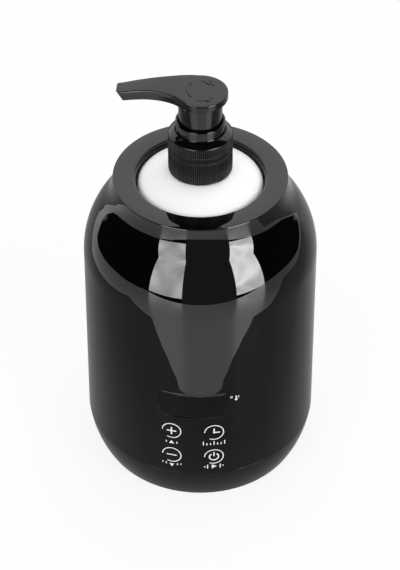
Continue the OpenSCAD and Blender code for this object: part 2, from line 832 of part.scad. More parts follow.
module heater_leads() {
    spread = 1.5;
    x0 = 6;
    x1 = connector_xs[2];
    y0 = -sqrt(pow(cup_out_r + 2 * lap_gap + sensor_wire_r, 2) - pow(x0 - spread, 2));
    color("#d8d2c2")
        wire_pair([
            [x0, y0, heater_z - lap_gap], [x0, y0, heater_z - 2], [x0 + 1, y0 - 1.6, heater_z - 5],
            [x1 - 1, -carrier_out_r - 2.2, connector_z + 11], [x1, connector_end_y + 3.2, connector_z + 4.2],
            [x1, connector_end_y + 1.5, connector_z], [x1, connector_end_y + lap_gap, connector_z],
        ], [spread, 0, 0], sensor_wire_r);
}

module sensor_leads() {
    x1 = connector_xs[0];
    outward = [cos(thermistor_angle), sin(thermistor_angle), 0];
    start = (cup_out_r + lap_gap + thermistor_t + 2 * lap_gap) * outward + [0, 0, heater_z - 3];
    color("#26262a")
        wire_pair([
            start, start + outward, [0.5 * x1, -carrier_out_r - 2.4, connector_z + 13],
            [x1, connector_end_y + 3.2, connector_z + 4.6], [x1, connector_end_y + 1.5, connector_z],
            [x1, connector_end_y + lap_gap, connector_z],
        ], [0.9, 0, -0.9], sensor_wire_r);
}

module feet() {
    color("#1c1c1c")
        ring_of(foot_angles, foot_circle_r) cylinder(r = foot_r, h = base_z + foot_recess_t);
}

module base_screws() {
    color(steel)
        ring_of(foot_angles, foot_circle_r)
            translate([0, 0, base_screw_seat_z]) screw(shell_post_top_z - base_screw_seat_z - 4);
}

module ring_screws() {
    color(steel)
        ring_of(ring_screw_angles, ring_screw_circle_r)
            translate([0, 0, shell_top_z - flange_t]) screw(flange_t + ring_h - 2.5);
}

module carrier_screws() {
    color(steel)
        ring_of(carrier_angles, carrier_circle_r)
            translate([0, 0, carrier_pad_z + carrier_pad_t])
                mirror([0, 0, 1]) screw(carrier_pad_t + carrier_screw_bite);
}

module board_screws() {
    color(steel)
        for (x = [-1, 1], z = board_screw_zs)
            translate([x * board_screw_x, -board_back_y, z])
                rotate([90, 0, 0]) screw(board_t + board_screw_bite);
}

module bottle() {
    neck_foot = [neck_r, dome_top_z + 0.3];
    color("#f4f4f2")
        rotate_extrude()
            polygon(concat(
                [[0, bottle_foot_z]],
                bottle_line(0),
                [neck_foot, [neck_r, neck_top_z], [mouth_r, neck_top_z], [mouth_r, neck_foot[1] - bottle_wall]],
                backwards(bottle_line(bottle_wall)),
                [[0, bottle_foot_z + bottle_wall]]
            ));
}

module neck_gasket() {
    color("#e9e7e0")
        rotate_extrude()
            translate([mouth_r, neck_top_z]) square([neck_r - mouth_r, neck_gasket_t]);
}

// Outline across the closure's ribs: one tip and one root for each rib
function ribbed(r, count, depth) =
    [for (i = [0:2 * count - 1]) let (a = 180 * i / count) (r - depth * (i % 2)) * [cos(a), sin(a)]];

module closure() {
    line_t = 0.4;
    color(black_satin)
        difference() {
            union() {
                translate([0, 0, closure_z]) cylinder(r = closure_r - 0.15, h = closure_foot_h);
                translate([0, 0, closure_z + closure_foot_h])
                    linear_extrude(closure_h - closure_foot_h - 0.3)
                        polygon(ribbed(closure_r, closure_ribs, rib_depth));
                for (z = closure_line_zs)
                    translate([0, 0, z]) cylinder(r = closure_r + 0.1, h = line_t);
                rotate_extrude()
                    polygon([
                        [0, closure_top_z - 1], [closure_r - rib_depth - 0.2, closure_top_z - 1],
                        [closure_r - rib_depth - 0.2, closure_top_z], [closure_hole_r, closure_top_z + closure_cone_h],
                        [0, closure_top_z + closure_cone_h],
                    ]);
            }
            translate([0, 0, closure_z - 1]) cylinder(r = closure_bore_r, h = closure_roof_z - closure_z + 1);
            translate([0, 0, closure_z]) cylinder(r = closure_hole_r, h = closure_h + closure_cone_h + 1);
        }
}

// Collar that the closure clamps, with a well for the head's skirt and a plug that guides the stem
module lock_collar() {
    bore_r = collar_r - collar_wall;
    guide_r = stem_r + running_gap;
    color(black_satin)
        rotate_extrude()
            polygon([
                [guide_r, plug_foot_z], [plug_r, plug_foot_z], [plug_r, collar_foot_z],
                [collar_r, collar_foot_z], [collar_r, collar_flange_z],
                [collar_flange_r, collar_flange_z], [collar_flange_r, collar_flange_z + collar_flange_t],
                [collar_r, collar_flange_z + collar_flange_t], [collar_r, collar_top_z - 0.3],
                [collar_r - 0.3, collar_top_z], [bore_r, collar_top_z],
                [bore_r, collar_floor_z], [guide_r, collar_floor_z],
            ]);
}

module pump_housing() {
    out_r = cylinder_r + cylinder_wall;
    socket_r = tube_r + press_gap;
    nib_t = 1;
    color("#f0efe9") {
        rotate_extrude()
            polygon([
                [cylinder_r, housing_flange_z + housing_flange_t], [housing_flange_r, housing_flange_z + housing_flange_t],
                [housing_flange_r, housing_flange_z], [out_r, housing_flange_z],
                [out_r, spring_seat_z - 1], [cage_r + 1.4, spring_seat_z - 4],
                [cage_r + 1.4, cage_foot_z], [tail_r, tube_top_z], [tail_r, tail_foot_z],
                [socket_r, tail_foot_z], [socket_r, tube_top_z + press_gap],
                [cage_hole_r, tube_top_z + press_gap], [cage_hole_r, cage_foot_z - cage_r + cage_hole_r],
                [cage_r, cage_foot_z], [cage_r, spring_seat_z], [cylinder_r, spring_seat_z],
            ]);
        for (a = [0, 120, 240])
            rotate(a)
                translate([cage_nib_r, -nib_t / 2, spring_seat_z - 1.4])
                    cube([cage_r + 0.5 - cage_nib_r, nib_t, 1]);
    }
}

module dip_tube() {
    cut_h = 5;
    color("#f2f2ee")
        difference() {
            translate([0, 0, tube_foot_z]) cylinder(r = tube_r, h = tube_top_z - tube_foot_z);
            translate([0, 0, tube_foot_z - 1]) cylinder(r = tube_r - tube_wall, h = tube_top_z - tube_foot_z + 2);
            translate([0, 0, tube_foot_z])
                rotate([90, 0, 0])
                    translate([0, 0, -tube_r - 1])
                        linear_extrude(2 * tube_r + 2)
                            polygon([[-tube_r - 1, -1], [tube_r + 1, -1], [tube_r + 1, cut_h], [-tube_r, 0], [-tube_r - 1, 0]]);
        }
}

module check_ball() {
    color("#c4c8cc") translate([0, 0, ball_z]) sphere(r = ball_r);
}

module pump_spring() {
    path = coil(spring_r, spring_curls, spring_h - spring_wire - 2 * lap_gap, spring_end_pitch);
    echo(pump_spring_least_gap = coil_gap(path, spring_wire));
    color(steel)
        translate([0, 0, spring_seat_z + spring_wire / 2 + lap_gap]) tube(path, spring_wire / 2, 6);
}

module piston() {
    lip_r = cylinder_r - piston_gap;
    waist_r = cylinder_r - 0.7;
    bore_r = stem_waist_r + piston_gap;
    color("#f4f4f0")
        rotate_extrude()
            polygon([
                [bore_r, piston_foot_z], [lip_r, piston_foot_z], [lip_r, piston_foot_z + piston_lip_h],
                [waist_r, piston_foot_z + piston_lip_h + 0.6], [waist_r, piston_top_z - piston_lip_h - 0.6],
                [lip_r, piston_top_z - piston_lip_h], [lip_r, piston_top_z], [bore_r, piston_top_z],
            ]);
}

// Hollow stem: its waist carries the piston between two shoulders, and two ports feed its bore
module stem() {
    port_z = piston_foot_z + 1.6;
    port_r = 0.9;
    color("#efeee8")
        difference() {
            rotate_extrude()
                polygon([
                    [0, spring_top_z], [stem_collar_r, spring_top_z], [stem_collar_r, stem_collar_top_z],
                    [stem_waist_r, stem_collar_top_z], [stem_waist_r, stem_shoulder_z],
                    [stem_r, stem_shoulder_z], [stem_r, socket_depth_z - press_gap],
                    [stem_bore_r, socket_depth_z - press_gap], [stem_bore_r, port_z - port_r - 0.6],
                    [0, port_z - port_r - 0.6],
                ]);
            translate([0, 0, port_z])
                rotate([0, 90, 0]) cylinder(r = port_r, h = 2 * stem_r, center = true);
        }
}

// Stations of the nozzle: reach and height of its top, the same of its underside, half its width
function nozzle_stations() =
    let (top = head_top_z, reach = nozzle_reach, arch = nozzle_arch)
    [
        [2, top - 0.4, 2, top - 3.3, head_r - 2.2],
        [0.2 * reach, top + 0.48 * arch, 0.2 * reach, top - 3.2, head_r - 3.6],
        [0.35 * reach, top + 0.86 * arch, 0.35 * reach, top - 3.1, head_r - 6.1],
        [0.5 * reach, top + arch, 0.5 * reach, top - 3.1, head_r - 8],
        [0.67 * reach, top + 0.93 * arch, 0.67 * reach, top - 3.5, nozzle_tip_w + 1.2],
        [0.84 * reach, top + 0.6 * arch, 0.82 * reach, top - 4.8, nozzle_tip_w + 0.6],
        [reach, top + 0.15 * arch, reach - 3.6, top - 6.7, nozzle_tip_w],
    ];

// One rounded section of the nozzle in the plane through its top and underside
function nozzle_section(s, sides = 24) =
    let (
        upper = [-s[0], 0, s[1]],
        lower = [-s[2], 0, s[3]],
        middle = (upper + lower) / 2,
        rise = (upper - lower) / 2,
        power = 0.66
    )
    [
        for (k = [0:sides - 1])
            let (a = 360 * k / sides, c = cos(a), n = sin(a))
                middle + sign(c) * pow(abs(c), power) * [0, s[4], 0] + sign(n) * pow(abs(n), power) * rise
    ];

// Straight stretch of the channel between two points in the XZ plane, run on past its end
module channel(from, to, past) {
    run = to - from;
    translate(from) rotate([0, -acos(run[2] / norm(run)), 0]) cylinder(r = channel_r, h = norm(run) + past);
}

module actuator_head() {
    edge_r = 1.2;
    inlet = [0, 0, head_top_z - 0.8 - channel_r];
    bend = [-0.64 * nozzle_reach, 0, head_top_z - 0.3];
    outlet = [-nozzle_reach + 1.9, 0, head_top_z - 3.6];
    color(black_satin)
        difference() {
            union() {
                rotate_extrude()
                    polygon(concat(
                        [[0, head_z], [head_r - 0.6, head_z], [head_r, head_z + 0.6]],
                        arc([head_r - edge_r, head_top_z - edge_r], edge_r, 0, 90, 5),
                        [[0, head_top_z]]
                    ));
                translate([0, 0, skirt_foot_z]) cylinder(r = skirt_r, h = head_z - skirt_foot_z + eps);
                loft([for (s = smooth(nozzle_stations(), 3)) nozzle_section(s)]);
            }
            difference() {
                translate([0, 0, skirt_foot_z - 1]) cylinder(r = skirt_r - skirt_wall, h = head_z - skirt_foot_z);
                translate([0, 0, socket_foot_z]) cylinder(r = socket_r, h = head_z - socket_foot_z);
            }
            translate([0, 0, socket_foot_z - 1]) cylinder(r = stem_r + press_gap, h = socket_depth_z - socket_foot_z + 1);
            translate([0, 0, socket_depth_z - 1]) cylinder(r = stem_bore_r, h = inlet[2] - socket_depth_z + 1);
            channel(inlet, bend, 0);
            translate(bend) sphere(r = channel_r + lap_gap);
            channel(bend, outlet, 3);
        }
}

outer_shell();
top_ring();
base_shell();
display_window();
heating_cup();
cup_gasket();
heater_band();
insulation_sleeve();
cup_carrier();
thermistor();
thermal_fuse();
control_board();
display_module();
touch_springs();
microcontroller();
power_transistor();
buzzer();
board_connectors();
dc_jack();
jack_nut();
power_leads();
heater_leads();
sensor_leads();
feet();
base_screws();
ring_screws();
carrier_screws();
board_screws();
bottle();
neck_gasket();
closure();
lock_collar();
pump_housing();
dip_tube();
check_ball();
pump_spring();
piston();
stem();
actuator_head();
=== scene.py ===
"""Looks of a massage oil warmer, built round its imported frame. Lengths in the code are millimetres."""

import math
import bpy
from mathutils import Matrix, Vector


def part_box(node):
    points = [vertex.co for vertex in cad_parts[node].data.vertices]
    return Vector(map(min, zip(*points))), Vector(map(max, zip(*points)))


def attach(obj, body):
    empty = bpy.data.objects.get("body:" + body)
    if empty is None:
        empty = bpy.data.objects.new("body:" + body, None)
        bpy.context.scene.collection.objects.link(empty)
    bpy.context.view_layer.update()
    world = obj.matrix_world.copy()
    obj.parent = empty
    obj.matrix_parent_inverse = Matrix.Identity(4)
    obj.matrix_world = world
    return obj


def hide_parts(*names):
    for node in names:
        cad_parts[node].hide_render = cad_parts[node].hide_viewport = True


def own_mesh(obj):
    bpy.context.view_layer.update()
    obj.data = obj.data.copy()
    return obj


bl_info = {
    "name": "Massage oil warmer",
    "version": (1, 0, 0),
    "blender": (4, 5, 0),
    "location": "View3D > Sidebar > Warmer",
    "description": "Builds the shell, panel, bottle and pump of a massage oil warmer",
    "category": "Object",
}

from bisect import bisect_left

import bmesh
import bpy
from bpy.props import FloatProperty, FloatVectorProperty, IntProperty, PointerProperty
from mathutils import Vector

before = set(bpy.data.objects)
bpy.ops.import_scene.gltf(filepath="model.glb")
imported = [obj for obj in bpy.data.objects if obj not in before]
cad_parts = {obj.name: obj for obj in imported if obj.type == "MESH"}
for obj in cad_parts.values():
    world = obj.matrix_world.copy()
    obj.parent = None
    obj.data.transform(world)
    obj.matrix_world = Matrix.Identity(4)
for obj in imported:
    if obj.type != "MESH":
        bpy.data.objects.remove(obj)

MM = 0.001
TAU = 2 * math.pi


def low(node):
    """Lowest corner of a node, in millimetres"""
    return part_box(node)[0] / MM


def high(node):
    """Highest corner of a node, in millimetres"""
    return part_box(node)[1] / MM


# --- colour -------------------------------------------------------------------------------------


def linear(hex_colour):
    """sRGB hex to a linear RGBA tuple"""
    channels = [int(hex_colour[i : i + 2], 16) / 255 for i in (1, 3, 5)]
    return tuple(c / 12.92 if c <= 0.04045 else ((c + 0.055) / 1.055) ** 2.4 for c in channels) + (1.0,)


def colour(name, default, description):
    """Colour property whose default is an sRGB hex"""
    return FloatVectorProperty(
        name=name, description=description, subtype="COLOR", size=4, min=0, max=1, default=linear(default)
    )


def length(name, default, description, low_end=0.0, high_end=1.0):
    """Length property whose default is in millimetres"""
    return FloatProperty(
        name=name, description=description, default=default * MM, min=low_end, max=high_end,
        subtype="DISTANCE", unit="LENGTH", precision=5,
    )


# --- sizes a user would change ------------------------------------------------------------------


class WarmerBody(bpy.types.PropertyGroup):
    seam_fillet: length("Seam fillet", 0.05, "Rounding of the two edges that meet at the seam")
    window_fillet: length("Window fillet", 0.08, "Rounding of the edge round the display window")
    window_recess: length("Window recess", 0.25, "How far the pane lies back from the shell")
    ring_fillet: length("Ring fillet", 0.45, "Rounding of the ring's outer edge")
    print_lift: length("Print thickness", 0.05, "How far the printed symbols stand above the gloss")


class WarmerPump(bpy.types.PropertyGroup):
    ribs: IntProperty(name="Ribs", description="Grip ribs round the closure", default=100, min=40, max=120)
    rib_depth: length("Rib depth", 0.4, "Depth of the grooves between the ribs")
    nozzle_fillet: length("Nozzle fillet", 0.25, "Rounding of the long edges of the nozzle")
    mark_height: length("Mark height", 0.3, "How far the moulded marks stand above the head")


class WarmerColours(bpy.types.PropertyGroup):
    shell: colour("Shell", "#030303", "Polished black of the shell and base")
    pump: colour("Pump", "#070707", "Black of the closure, collar and head")
    pane: colour("Pane", "#020202", "Smoked acrylic of the display window")
    ink: colour("Ink", "#e6e6e6", "Printed symbols")
    bottle: colour("Bottle", "#f6f6f5", "White polyethylene")
    natural: colour("Natural", "#e9e7df", "Uncoloured polypropylene of the pump's works")


class WarmerStage(bpy.types.PropertyGroup):
    camera_turn: FloatProperty(name="Camera turn", description="Angle of the camera from the panel's middle",
                               default=math.radians(3.75), subtype="ANGLE", unit="ROTATION")
    camera_height: length("Camera height", 780.0, "Height of the camera above the floor", high_end=5)
    camera_away: length("Camera distance", 774.7, "Distance of the camera from the axis, level", high_end=5)
    camera_side: length("Camera side step", -0.18, "How far camera and target stand to the right", low_end=-1)
    target_height: length("Target height", 103.28, "Height of the point on the axis that the camera looks at")
    lens: FloatProperty(name="Lens", description="Focal length in millimetres", default=121.57, min=10, max=300)
    fill: FloatProperty(name="Fill", description="Strength of the even light from all round", default=0.62, min=0)
    key: FloatProperty(name="Key", description="Strength of the two soft lamps in watts", default=5.0, min=0)


PROPS = {
    "warmer_body": WarmerBody,
    "warmer_pump": WarmerPump,
    "warmer_colours": WarmerColours,
    "warmer_stage": WarmerStage,
}


# --- profiles -----------------------------------------------------------------------------------


def rounded_line(corners, steps=5, closed=False):
    """Points of a line through (r, z) or (r, z, fillet) corners, with an arc at each fillet"""
    points = []
    n = len(corners)
    for i, corner in enumerate(corners):
        p = Vector(corner[:2])
        fillet = corner[2] if len(corner) > 2 else 0
        if fillet <= 0 or (not closed and i in (0, n - 1)):
            points.append(tuple(p))
            continue
        a = (Vector(corners[i - 1][:2]) - p).normalized()
        b = (Vector(corners[(i + 1) % n][:2]) - p).normalized()
        half = math.acos(max(-1, min(1, a.dot(b)))) / 2
        back = fillet / math.tan(half)
        centre = p + (a + b).normalized() * (fillet / math.sin(half))
        start, end = p + a * back, p + b * back
        a0 = math.atan2(*(start - centre).yx)
        turn = math.atan2(*(end - centre).yx) - a0
        turn = (turn + math.pi) % TAU - math.pi
        points += [
            tuple(centre + fillet * Vector((math.cos(a0 + turn * k / steps), math.sin(a0 + turn * k / steps))))
            for k in range(steps + 1)
        ]
    return points


def arc(centre, r, a0, a1, steps):
    """Points of an arc, angles in degrees"""
    angles = [math.radians(a0 + (a1 - a0) * i / steps) for i in range(steps + 1)]
    return [(centre[0] + r * math.cos(a), centre[1] + r * math.sin(a)) for a in angles]


def quarter(r, steps):
    """Rounding between two faces: at each step, how far in from the first face's edge and how far below it"""
    angles = [math.radians(90 * k / steps) for k in range(steps + 1)]
    return [(r * (1 - math.sin(a)), r * (1 - math.cos(a))) for a in angles]


def band(faces, a, b):
    """Adds faces between two rings of vertices, which face out where the first ring is below the second"""
    count = len(a)
    faces += [[a[j], a[(j + 1) % count], b[(j + 1) % count], b[j]] for j in range(count)]


def turned(profile, columns, ribs=None):
    """Vertices and faces of a closed (r, z) profile turned about Z; ribs(r, z, angle) may change r"""
    verts, quads, rings = [], [], []
    for r, z in profile:
        if r < 1e-6:
            rings.append([len(verts)] * columns)
            verts.append((0, 0, z))
            continue
        rings.append(range(len(verts), len(verts) + columns))
        for k in range(columns):
            a = TAU * k / columns
            rr = ribs(r, z, a) if ribs else r
            verts.append((rr * math.cos(a), rr * math.sin(a), z))
    for ring, above in zip(rings, rings[1:] + rings[:1]):
        band(quads, ring, above)
    faces = [list(dict.fromkeys(quad)) for quad in quads]
    return verts, [face for face in faces if len(face) > 2]


def lofted(loops, capped=False):
    """Vertices and faces of a surface through closed loops of equally many points"""
    verts = [p for loop in loops for p in loop]
    count = len(loops[0])
    starts = range(0, len(verts), count)
    faces = []
    for a, b in zip(starts, starts[1:]):
        band(faces, range(a, a + count), range(b, b + count))
    ends = [list(range(count))[::-1], list(range(starts[-1], len(verts)))] if capped else []
    return verts, faces + ends


def tube(path, r, sides):
    """Vertices and faces of a round tube along a path, closed at both ends"""
    path = [Vector(p) for p in path]
    normal = Vector((0.31, 0.53, 0.79))
    loops = []
    for i, p in enumerate(path):
        along = (path[min(i + 1, len(path) - 1)] - path[max(i - 1, 0)]).normalized()
        normal = (normal - along * normal.dot(along)).normalized()
        side = along.cross(normal)
        radius = r(i / (len(path) - 1)) if callable(r) else r
        loops.append([p + radius * (math.cos(TAU * k / sides) * normal + math.sin(TAU * k / sides) * side)
                      for k in range(sides)])
    return lofted(loops, capped=True)


# --- pieces -------------------------------------------------------------------------------------


def mesh_of(name, verts, faces, normals=None, sharp=35):
    """Mesh from millimetre vertices, smooth but for edges sharper than the angle"""
    mesh = bpy.data.meshes.new(name)
    mesh.from_pydata([Vector(v) * MM for v in verts], [], faces)
    bm = bmesh.new()
    bm.from_mesh(mesh)
    if normals is None:
        bmesh.ops.remove_doubles(bm, verts=bm.verts, dist=1e-7)
        bmesh.ops.recalc_face_normals(bm, faces=bm.faces)
    bm.to_mesh(mesh)
    bm.free()
    mesh.shade_smooth()
    if normals is None:
        mesh.set_sharp_from_angle(angle=math.radians(sharp))
    else:
        mesh.normals_split_custom_set_from_vertices([Vector(n).normalized() for n in normals])
    return mesh


def placed(name, data):
    """New object in the scene"""
    obj = bpy.data.objects.new(name, data)
    bpy.context.scene.collection.objects.link(obj)
    return obj


def piece(name, solid, finish, body, replaces=(), normals=None, sharp=35):
    """Object of the vertices and faces that rides on a body and stands for the nodes it replaces"""
    obj = placed(name, mesh_of(name, *solid, normals, sharp))
    obj.data.materials.append(finish_of(finish))
    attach(obj, body)
    if replaces:
        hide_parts(*replaces)
    return obj


def join(*parts):
    """One list of vertices and faces from several"""
    verts, faces = [], []
    for v, f in parts:
        faces += [[i + len(verts) for i in face] for face in f]
        verts += list(v)
    return verts, faces


def carve(obj, cutter_mesh):
    """Takes the cutter out of the object's mesh"""
    cutter = placed("cutter", cutter_mesh)
    cut = obj.modifiers.new("cut", "BOOLEAN")
    cut.operation, cut.solver, cut.object = "DIFFERENCE", "EXACT", cutter
    bpy.context.view_layer.update()
    carved = bpy.data.meshes.new_from_object(obj.evaluated_get(bpy.context.evaluated_depsgraph_get()))
    obj.modifiers.clear()
    obj.data = carved
    carved.name = obj.name
    bpy.data.objects.remove(cutter)


# --- materials ----------------------------------------------------------------------------------


def add(tree, kind, inputs=(), **settings):
    """Adds a node, with its attributes, its input values and the sockets linked into it"""
    node = tree.nodes.new(kind)
    for name, value in settings.items():
        setattr(node, name, value)
    for name, value in dict(inputs).items():
        if isinstance(value, bpy.types.NodeSocket):
            tree.links.new(value, node.inputs[name])
        else:
            node.inputs[name].default_value = value
    return node


def blank(name):
    """New material with an empty node tree, and its tree"""
    material = bpy.data.materials.new(name)
    material.use_nodes = True
    material.node_tree.nodes.clear()
    return material, material.node_tree


# Size of the patches that flow and handling leave, and pitch and depth of a lathe's rings, in metres
PATCH_SIZE, LATHE_PITCH, LATHE_DEPTH = 0.03, 0.0004, 0.000004
# What a noise mostly keeps between, as the input of a range
NOISE_SPAN = {"From Min": 0.3, "From Max": 0.7}


def moulded(name, base, roughness, ior, grain=None, patch=0.0, sheen=0.0, scatter=0.0):
    """Moulded plastic: its roughness drifts over a few centimetres, and a fine grain of (size, depth), where the
    tool had one, breaks the reflections"""
    material, tree = blank(name)
    where = add(tree, "ShaderNodeTexCoord").outputs["Object"]
    drift = add(tree, "ShaderNodeTexNoise", {
        "Vector": where, "Scale": 1 / PATCH_SIZE, "Detail": 3.0, "Roughness": 0.6})
    rough = add(tree, "ShaderNodeMapRange", {
        "Value": drift.outputs["Fac"], **NOISE_SPAN, "To Min": roughness * (1 - patch),
        "To Max": roughness * (1 + patch),
    })
    inputs = {"Base Color": base, "Roughness": rough.outputs["Result"], "IOR": ior}
    if grain:
        size, depth = grain
        noise = add(tree, "ShaderNodeTexNoise", {"Vector": where, "Scale": 1 / (size * MM), "Detail": 2.0})
        bump = add(tree, "ShaderNodeBump", {
            "Height": noise.outputs["Fac"], "Distance": depth * MM, "Strength": 1.0})
        inputs["Normal"] = bump.outputs["Normal"]
    if scatter:
        inputs["Subsurface Weight"] = scatter
        inputs["Subsurface Radius"] = (0.9, 0.9, 0.9)
        inputs["Subsurface Scale"] = 0.004
    if sheen:
        inputs["Sheen Weight"] = sheen
    shader = add(tree, "ShaderNodeBsdfPrincipled", inputs)
    add(tree, "ShaderNodeOutputMaterial", {"Surface": shader.outputs[0]})
    return material


def spun_metal(name, base, roughness):
    """Metal finished on a lathe: fine rings that run round the axis, far enough apart to show"""
    material, tree = blank(name)
    where = add(tree, "ShaderNodeTexCoord").outputs["Object"]
    along = add(tree, "ShaderNodeMapping", {
        "Vector": where, "Scale": (1 / PATCH_SIZE, 1 / PATCH_SIZE, 1 / LATHE_PITCH)})
    rings = add(tree, "ShaderNodeTexNoise", {"Vector": along.outputs["Vector"], "Scale": 1.0, "Detail": 3.0})
    rough = add(tree, "ShaderNodeMapRange", {
        "Value": rings.outputs["Fac"], **NOISE_SPAN, "To Min": roughness * 0.8, "To Max": roughness * 1.25,
    })
    bump = add(tree, "ShaderNodeBump", {"Height": rings.outputs["Fac"], "Distance": LATHE_DEPTH, "Strength": 1.0})
    shader = add(tree, "ShaderNodeBsdfPrincipled", {
        "Base Color": linear(base), "Metallic": 1.0, "Roughness": rough.outputs["Result"],
        "Normal": bump.outputs["Normal"],
    })
    add(tree, "ShaderNodeOutputMaterial", {"Surface": shader.outputs[0]})
    return material


# Plastics and rubbers: colour, or the property that holds it, roughness, IOR, and what their tool adds
MOULDED = {
    # Polished ABS, moulded in a mirror tool: deep black that shows the room as crisp dim pictures
    "gloss_abs": ("shell", 0.015, 1.53, dict(patch=0.3)),
    # Black polypropylene from a bright tool: the collar, skirt and cone show the room a little softer
    "bright_polypropylene": ("pump", 0.035, 1.47, dict(patch=0.3)),
    # The head is the same plastic from a tool with a trace of grain, so its picture of the room is dull
    "head_polypropylene": ("pump", 0.14, 1.46, dict(grain=(0.5, 0.002), patch=0.25)),
    # The closure's side is the same plastic, rubbed by hands, so each rib has only a broad faint shine
    "grip_polypropylene": ("pump", 0.3, 1.44, dict(grain=(0.4, 0.004), patch=0.25)),
    # Smoked acrylic pane: darker and glossier than the shell round it
    "smoked_acrylic": ("pane", 0.02, 1.49, dict(patch=0.2)),
    # Screen-printed ink: matt white, a little uneven
    "screen_ink": ("ink", 0.5, 1.45, dict(grain=(0.25, 0.01), patch=0.2)),
    # Blow-moulded polyethylene: waxy white that lets a little light in
    "bottle_polyethylene": ("bottle", 0.35, 1.5, dict(grain=(1.4, 0.003), patch=0.1, scatter=0.15)),
    # Uncoloured polypropylene of the pump's works: milky and satin
    "natural_polypropylene": ("natural", 0.32, 1.49, dict(grain=(0.8, 0.006), patch=0.2, scatter=0.2)),
    # Rubber of the feet: matt, with a moulded bloom
    "foot_rubber": ("#1d1d1d", 0.75, 1.5, dict(grain=(0.5, 0.02), patch=0.1)),
    # Silicone of the cup's gasket: soft red with a dull skin
    "silicone_rubber": ("#7a2d22", 0.6, 1.42, dict(grain=(0.5, 0.01))),
    # Heater mat, silicone pressed on glass cloth: orange, with the cloth just showing
    "heater_silicone": ("#b4531f", 0.55, 1.42, dict(grain=(0.9, 0.05))),
    # Needled felt: pale and quite matt, with loose fibres that catch light at its edge
    "insulation_felt": ("#d9d4c6", 0.95, 1.4, dict(grain=(0.6, 0.25), sheen=0.3)),
    # Moulded nylon: off-white and satin
    "nylon": ("#d8d6cf", 0.45, 1.53, dict(grain=(0.6, 0.01))),
    # Fibreglass board under green lacquer, its weave just showing
    "board_lacquer": ("#1d5a34", 0.3, 1.52, dict(grain=(0.7, 0.01))),
    # Epoxy that chips are cast in: near black, half matt
    "component_epoxy": ("#1a1a1c", 0.5, 1.55, dict(grain=(0.3, 0.01))),
    # White nylon of connectors: a little shinier than the carrier
    "component_nylon": ("#ece9df", 0.4, 1.53, dict(grain=(0.5, 0.01))),
    # Extruded skins of the leads, smooth and slightly waxy
    "lead_red": ("#8f1f1f", 0.4, 1.5, dict(grain=(0.8, 0.01))),
    "lead_white": ("#d8d2c2", 0.4, 1.5, dict(grain=(0.8, 0.01))),
    "lead_black": ("#26262a", 0.4, 1.5, dict(grain=(0.8, 0.01))),
}
# Metals: colour and roughness
SPUN = {
    # Aluminium as the lathe left it: pale grey that holds a soft streak round the cup
    "spun_aluminium": ("#c9cbcd", 0.3),
    # Zinc-plated steel: cooler and slightly shinier
    "zinc_steel": ("#b9bcc0", 0.28),
    # Spring brass, bare: warm yellow
    "spring_brass": ("#c8b273", 0.3),
    # Nickel plate of the contacts: the brightest of them
    "contact_nickel": ("#c3c1ba", 0.22),
}
MATERIALS = {}


def finish_of(name):
    """Material of that name, made when it is first asked for"""
    if name not in MATERIALS:
        if name in SPUN:
            MATERIALS[name] = spun_metal(name, *SPUN[name])
        else:
            base, roughness, ior, extra = MOULDED[name]
            colours = bpy.context.scene.warmer_colours
            base = linear(base) if base.startswith("#") else tuple(getattr(colours, base))
            MATERIALS[name] = moulded(name, base, roughness, ior, **extra)
    return MATERIALS[name]


# --- the body -----------------------------------------------------------------------------------

# The shell's side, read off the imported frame's sizes: a straight draft from the seam, a bend inwards
# and a sweep that turns upright again in the ring's side
SEAM_R, SEAM_Z = 62.2, 23.0
SHOULDER_R, BEND_R = 61.1, 51.7
SWEEP_R, SWEEP_Z = 23.7, 176.3
RING_R, RING_SIDE_R = 45.2, 48.7
TOP_Z = 170.8
WALL = 2.5
BORE_R = 34.6
# The base bends in below the seam, from a lean that it has there already
BASE_Z = 0.5
BASE_BEND_R, BASE_LEAN = 61.6, math.radians(5.5)
PANEL_ANGLE = -math.pi / 2
COLUMNS = 360
# The two openings: half width, half height, radius of the corners and height of the middle
WINDOW = (17.85, 8.5, 2.5, 73.0)
JACK = (7.1, 7.1, 7.1, 38.0)

# What follows from those: the bend's two ends, the sweep's end at the ring, and the draft of the straight side
LEAN = math.acos(1 - (SHOULDER_R - RING_R) / (BEND_R + SWEEP_R))
SHOULDER_Z = SWEEP_Z - (BEND_R + SWEEP_R) * math.sin(LEAN)
SWEEP_FOOT_Z = SHOULDER_Z + BEND_R * math.sin(LEAN)
TOP_LEAN = math.asin((SWEEP_Z - TOP_Z) / SWEEP_R)
TOP_R = RING_R + SWEEP_R * (1 - math.cos(TOP_LEAN))
DRAFT = math.atan2(SEAM_R - SHOULDER_R, SHOULDER_Z - SEAM_Z)


def side_at(z):
    """(radius, angle of the normal above the horizontal) of the shell's side at a height"""
    if z <= SHOULDER_Z:
        return SEAM_R + (SHOULDER_R - SEAM_R) * (z - SEAM_Z) / (SHOULDER_Z - SEAM_Z), DRAFT
    if z <= SWEEP_FOOT_Z:
        a = math.asin((z - SHOULDER_Z) / BEND_R)
        return SHOULDER_R - BEND_R * (1 - math.cos(a)), max(a, DRAFT)
    a = math.asin((SWEEP_Z - z) / SWEEP_R)
    return RING_R + SWEEP_R * (1 - math.cos(a)), a


def on_side(angle, z, depth=0.0):
    """Point below the side at an angle and height, and the side's normal there"""
    r, tilt = side_at(z)
    n = Vector((math.cos(angle) * math.cos(tilt), math.sin(angle) * math.cos(tilt), math.sin(tilt)))
    return Vector((r * math.cos(angle), r * math.sin(angle), z)) - n * depth, n


def across_side(angle, x, z, depth):
    """The same for a point that stands x to the right of an angle, seen square on"""
    return on_side(angle + math.asin(max(-1, min(1, x / side_at(z)[0]))), z, depth)


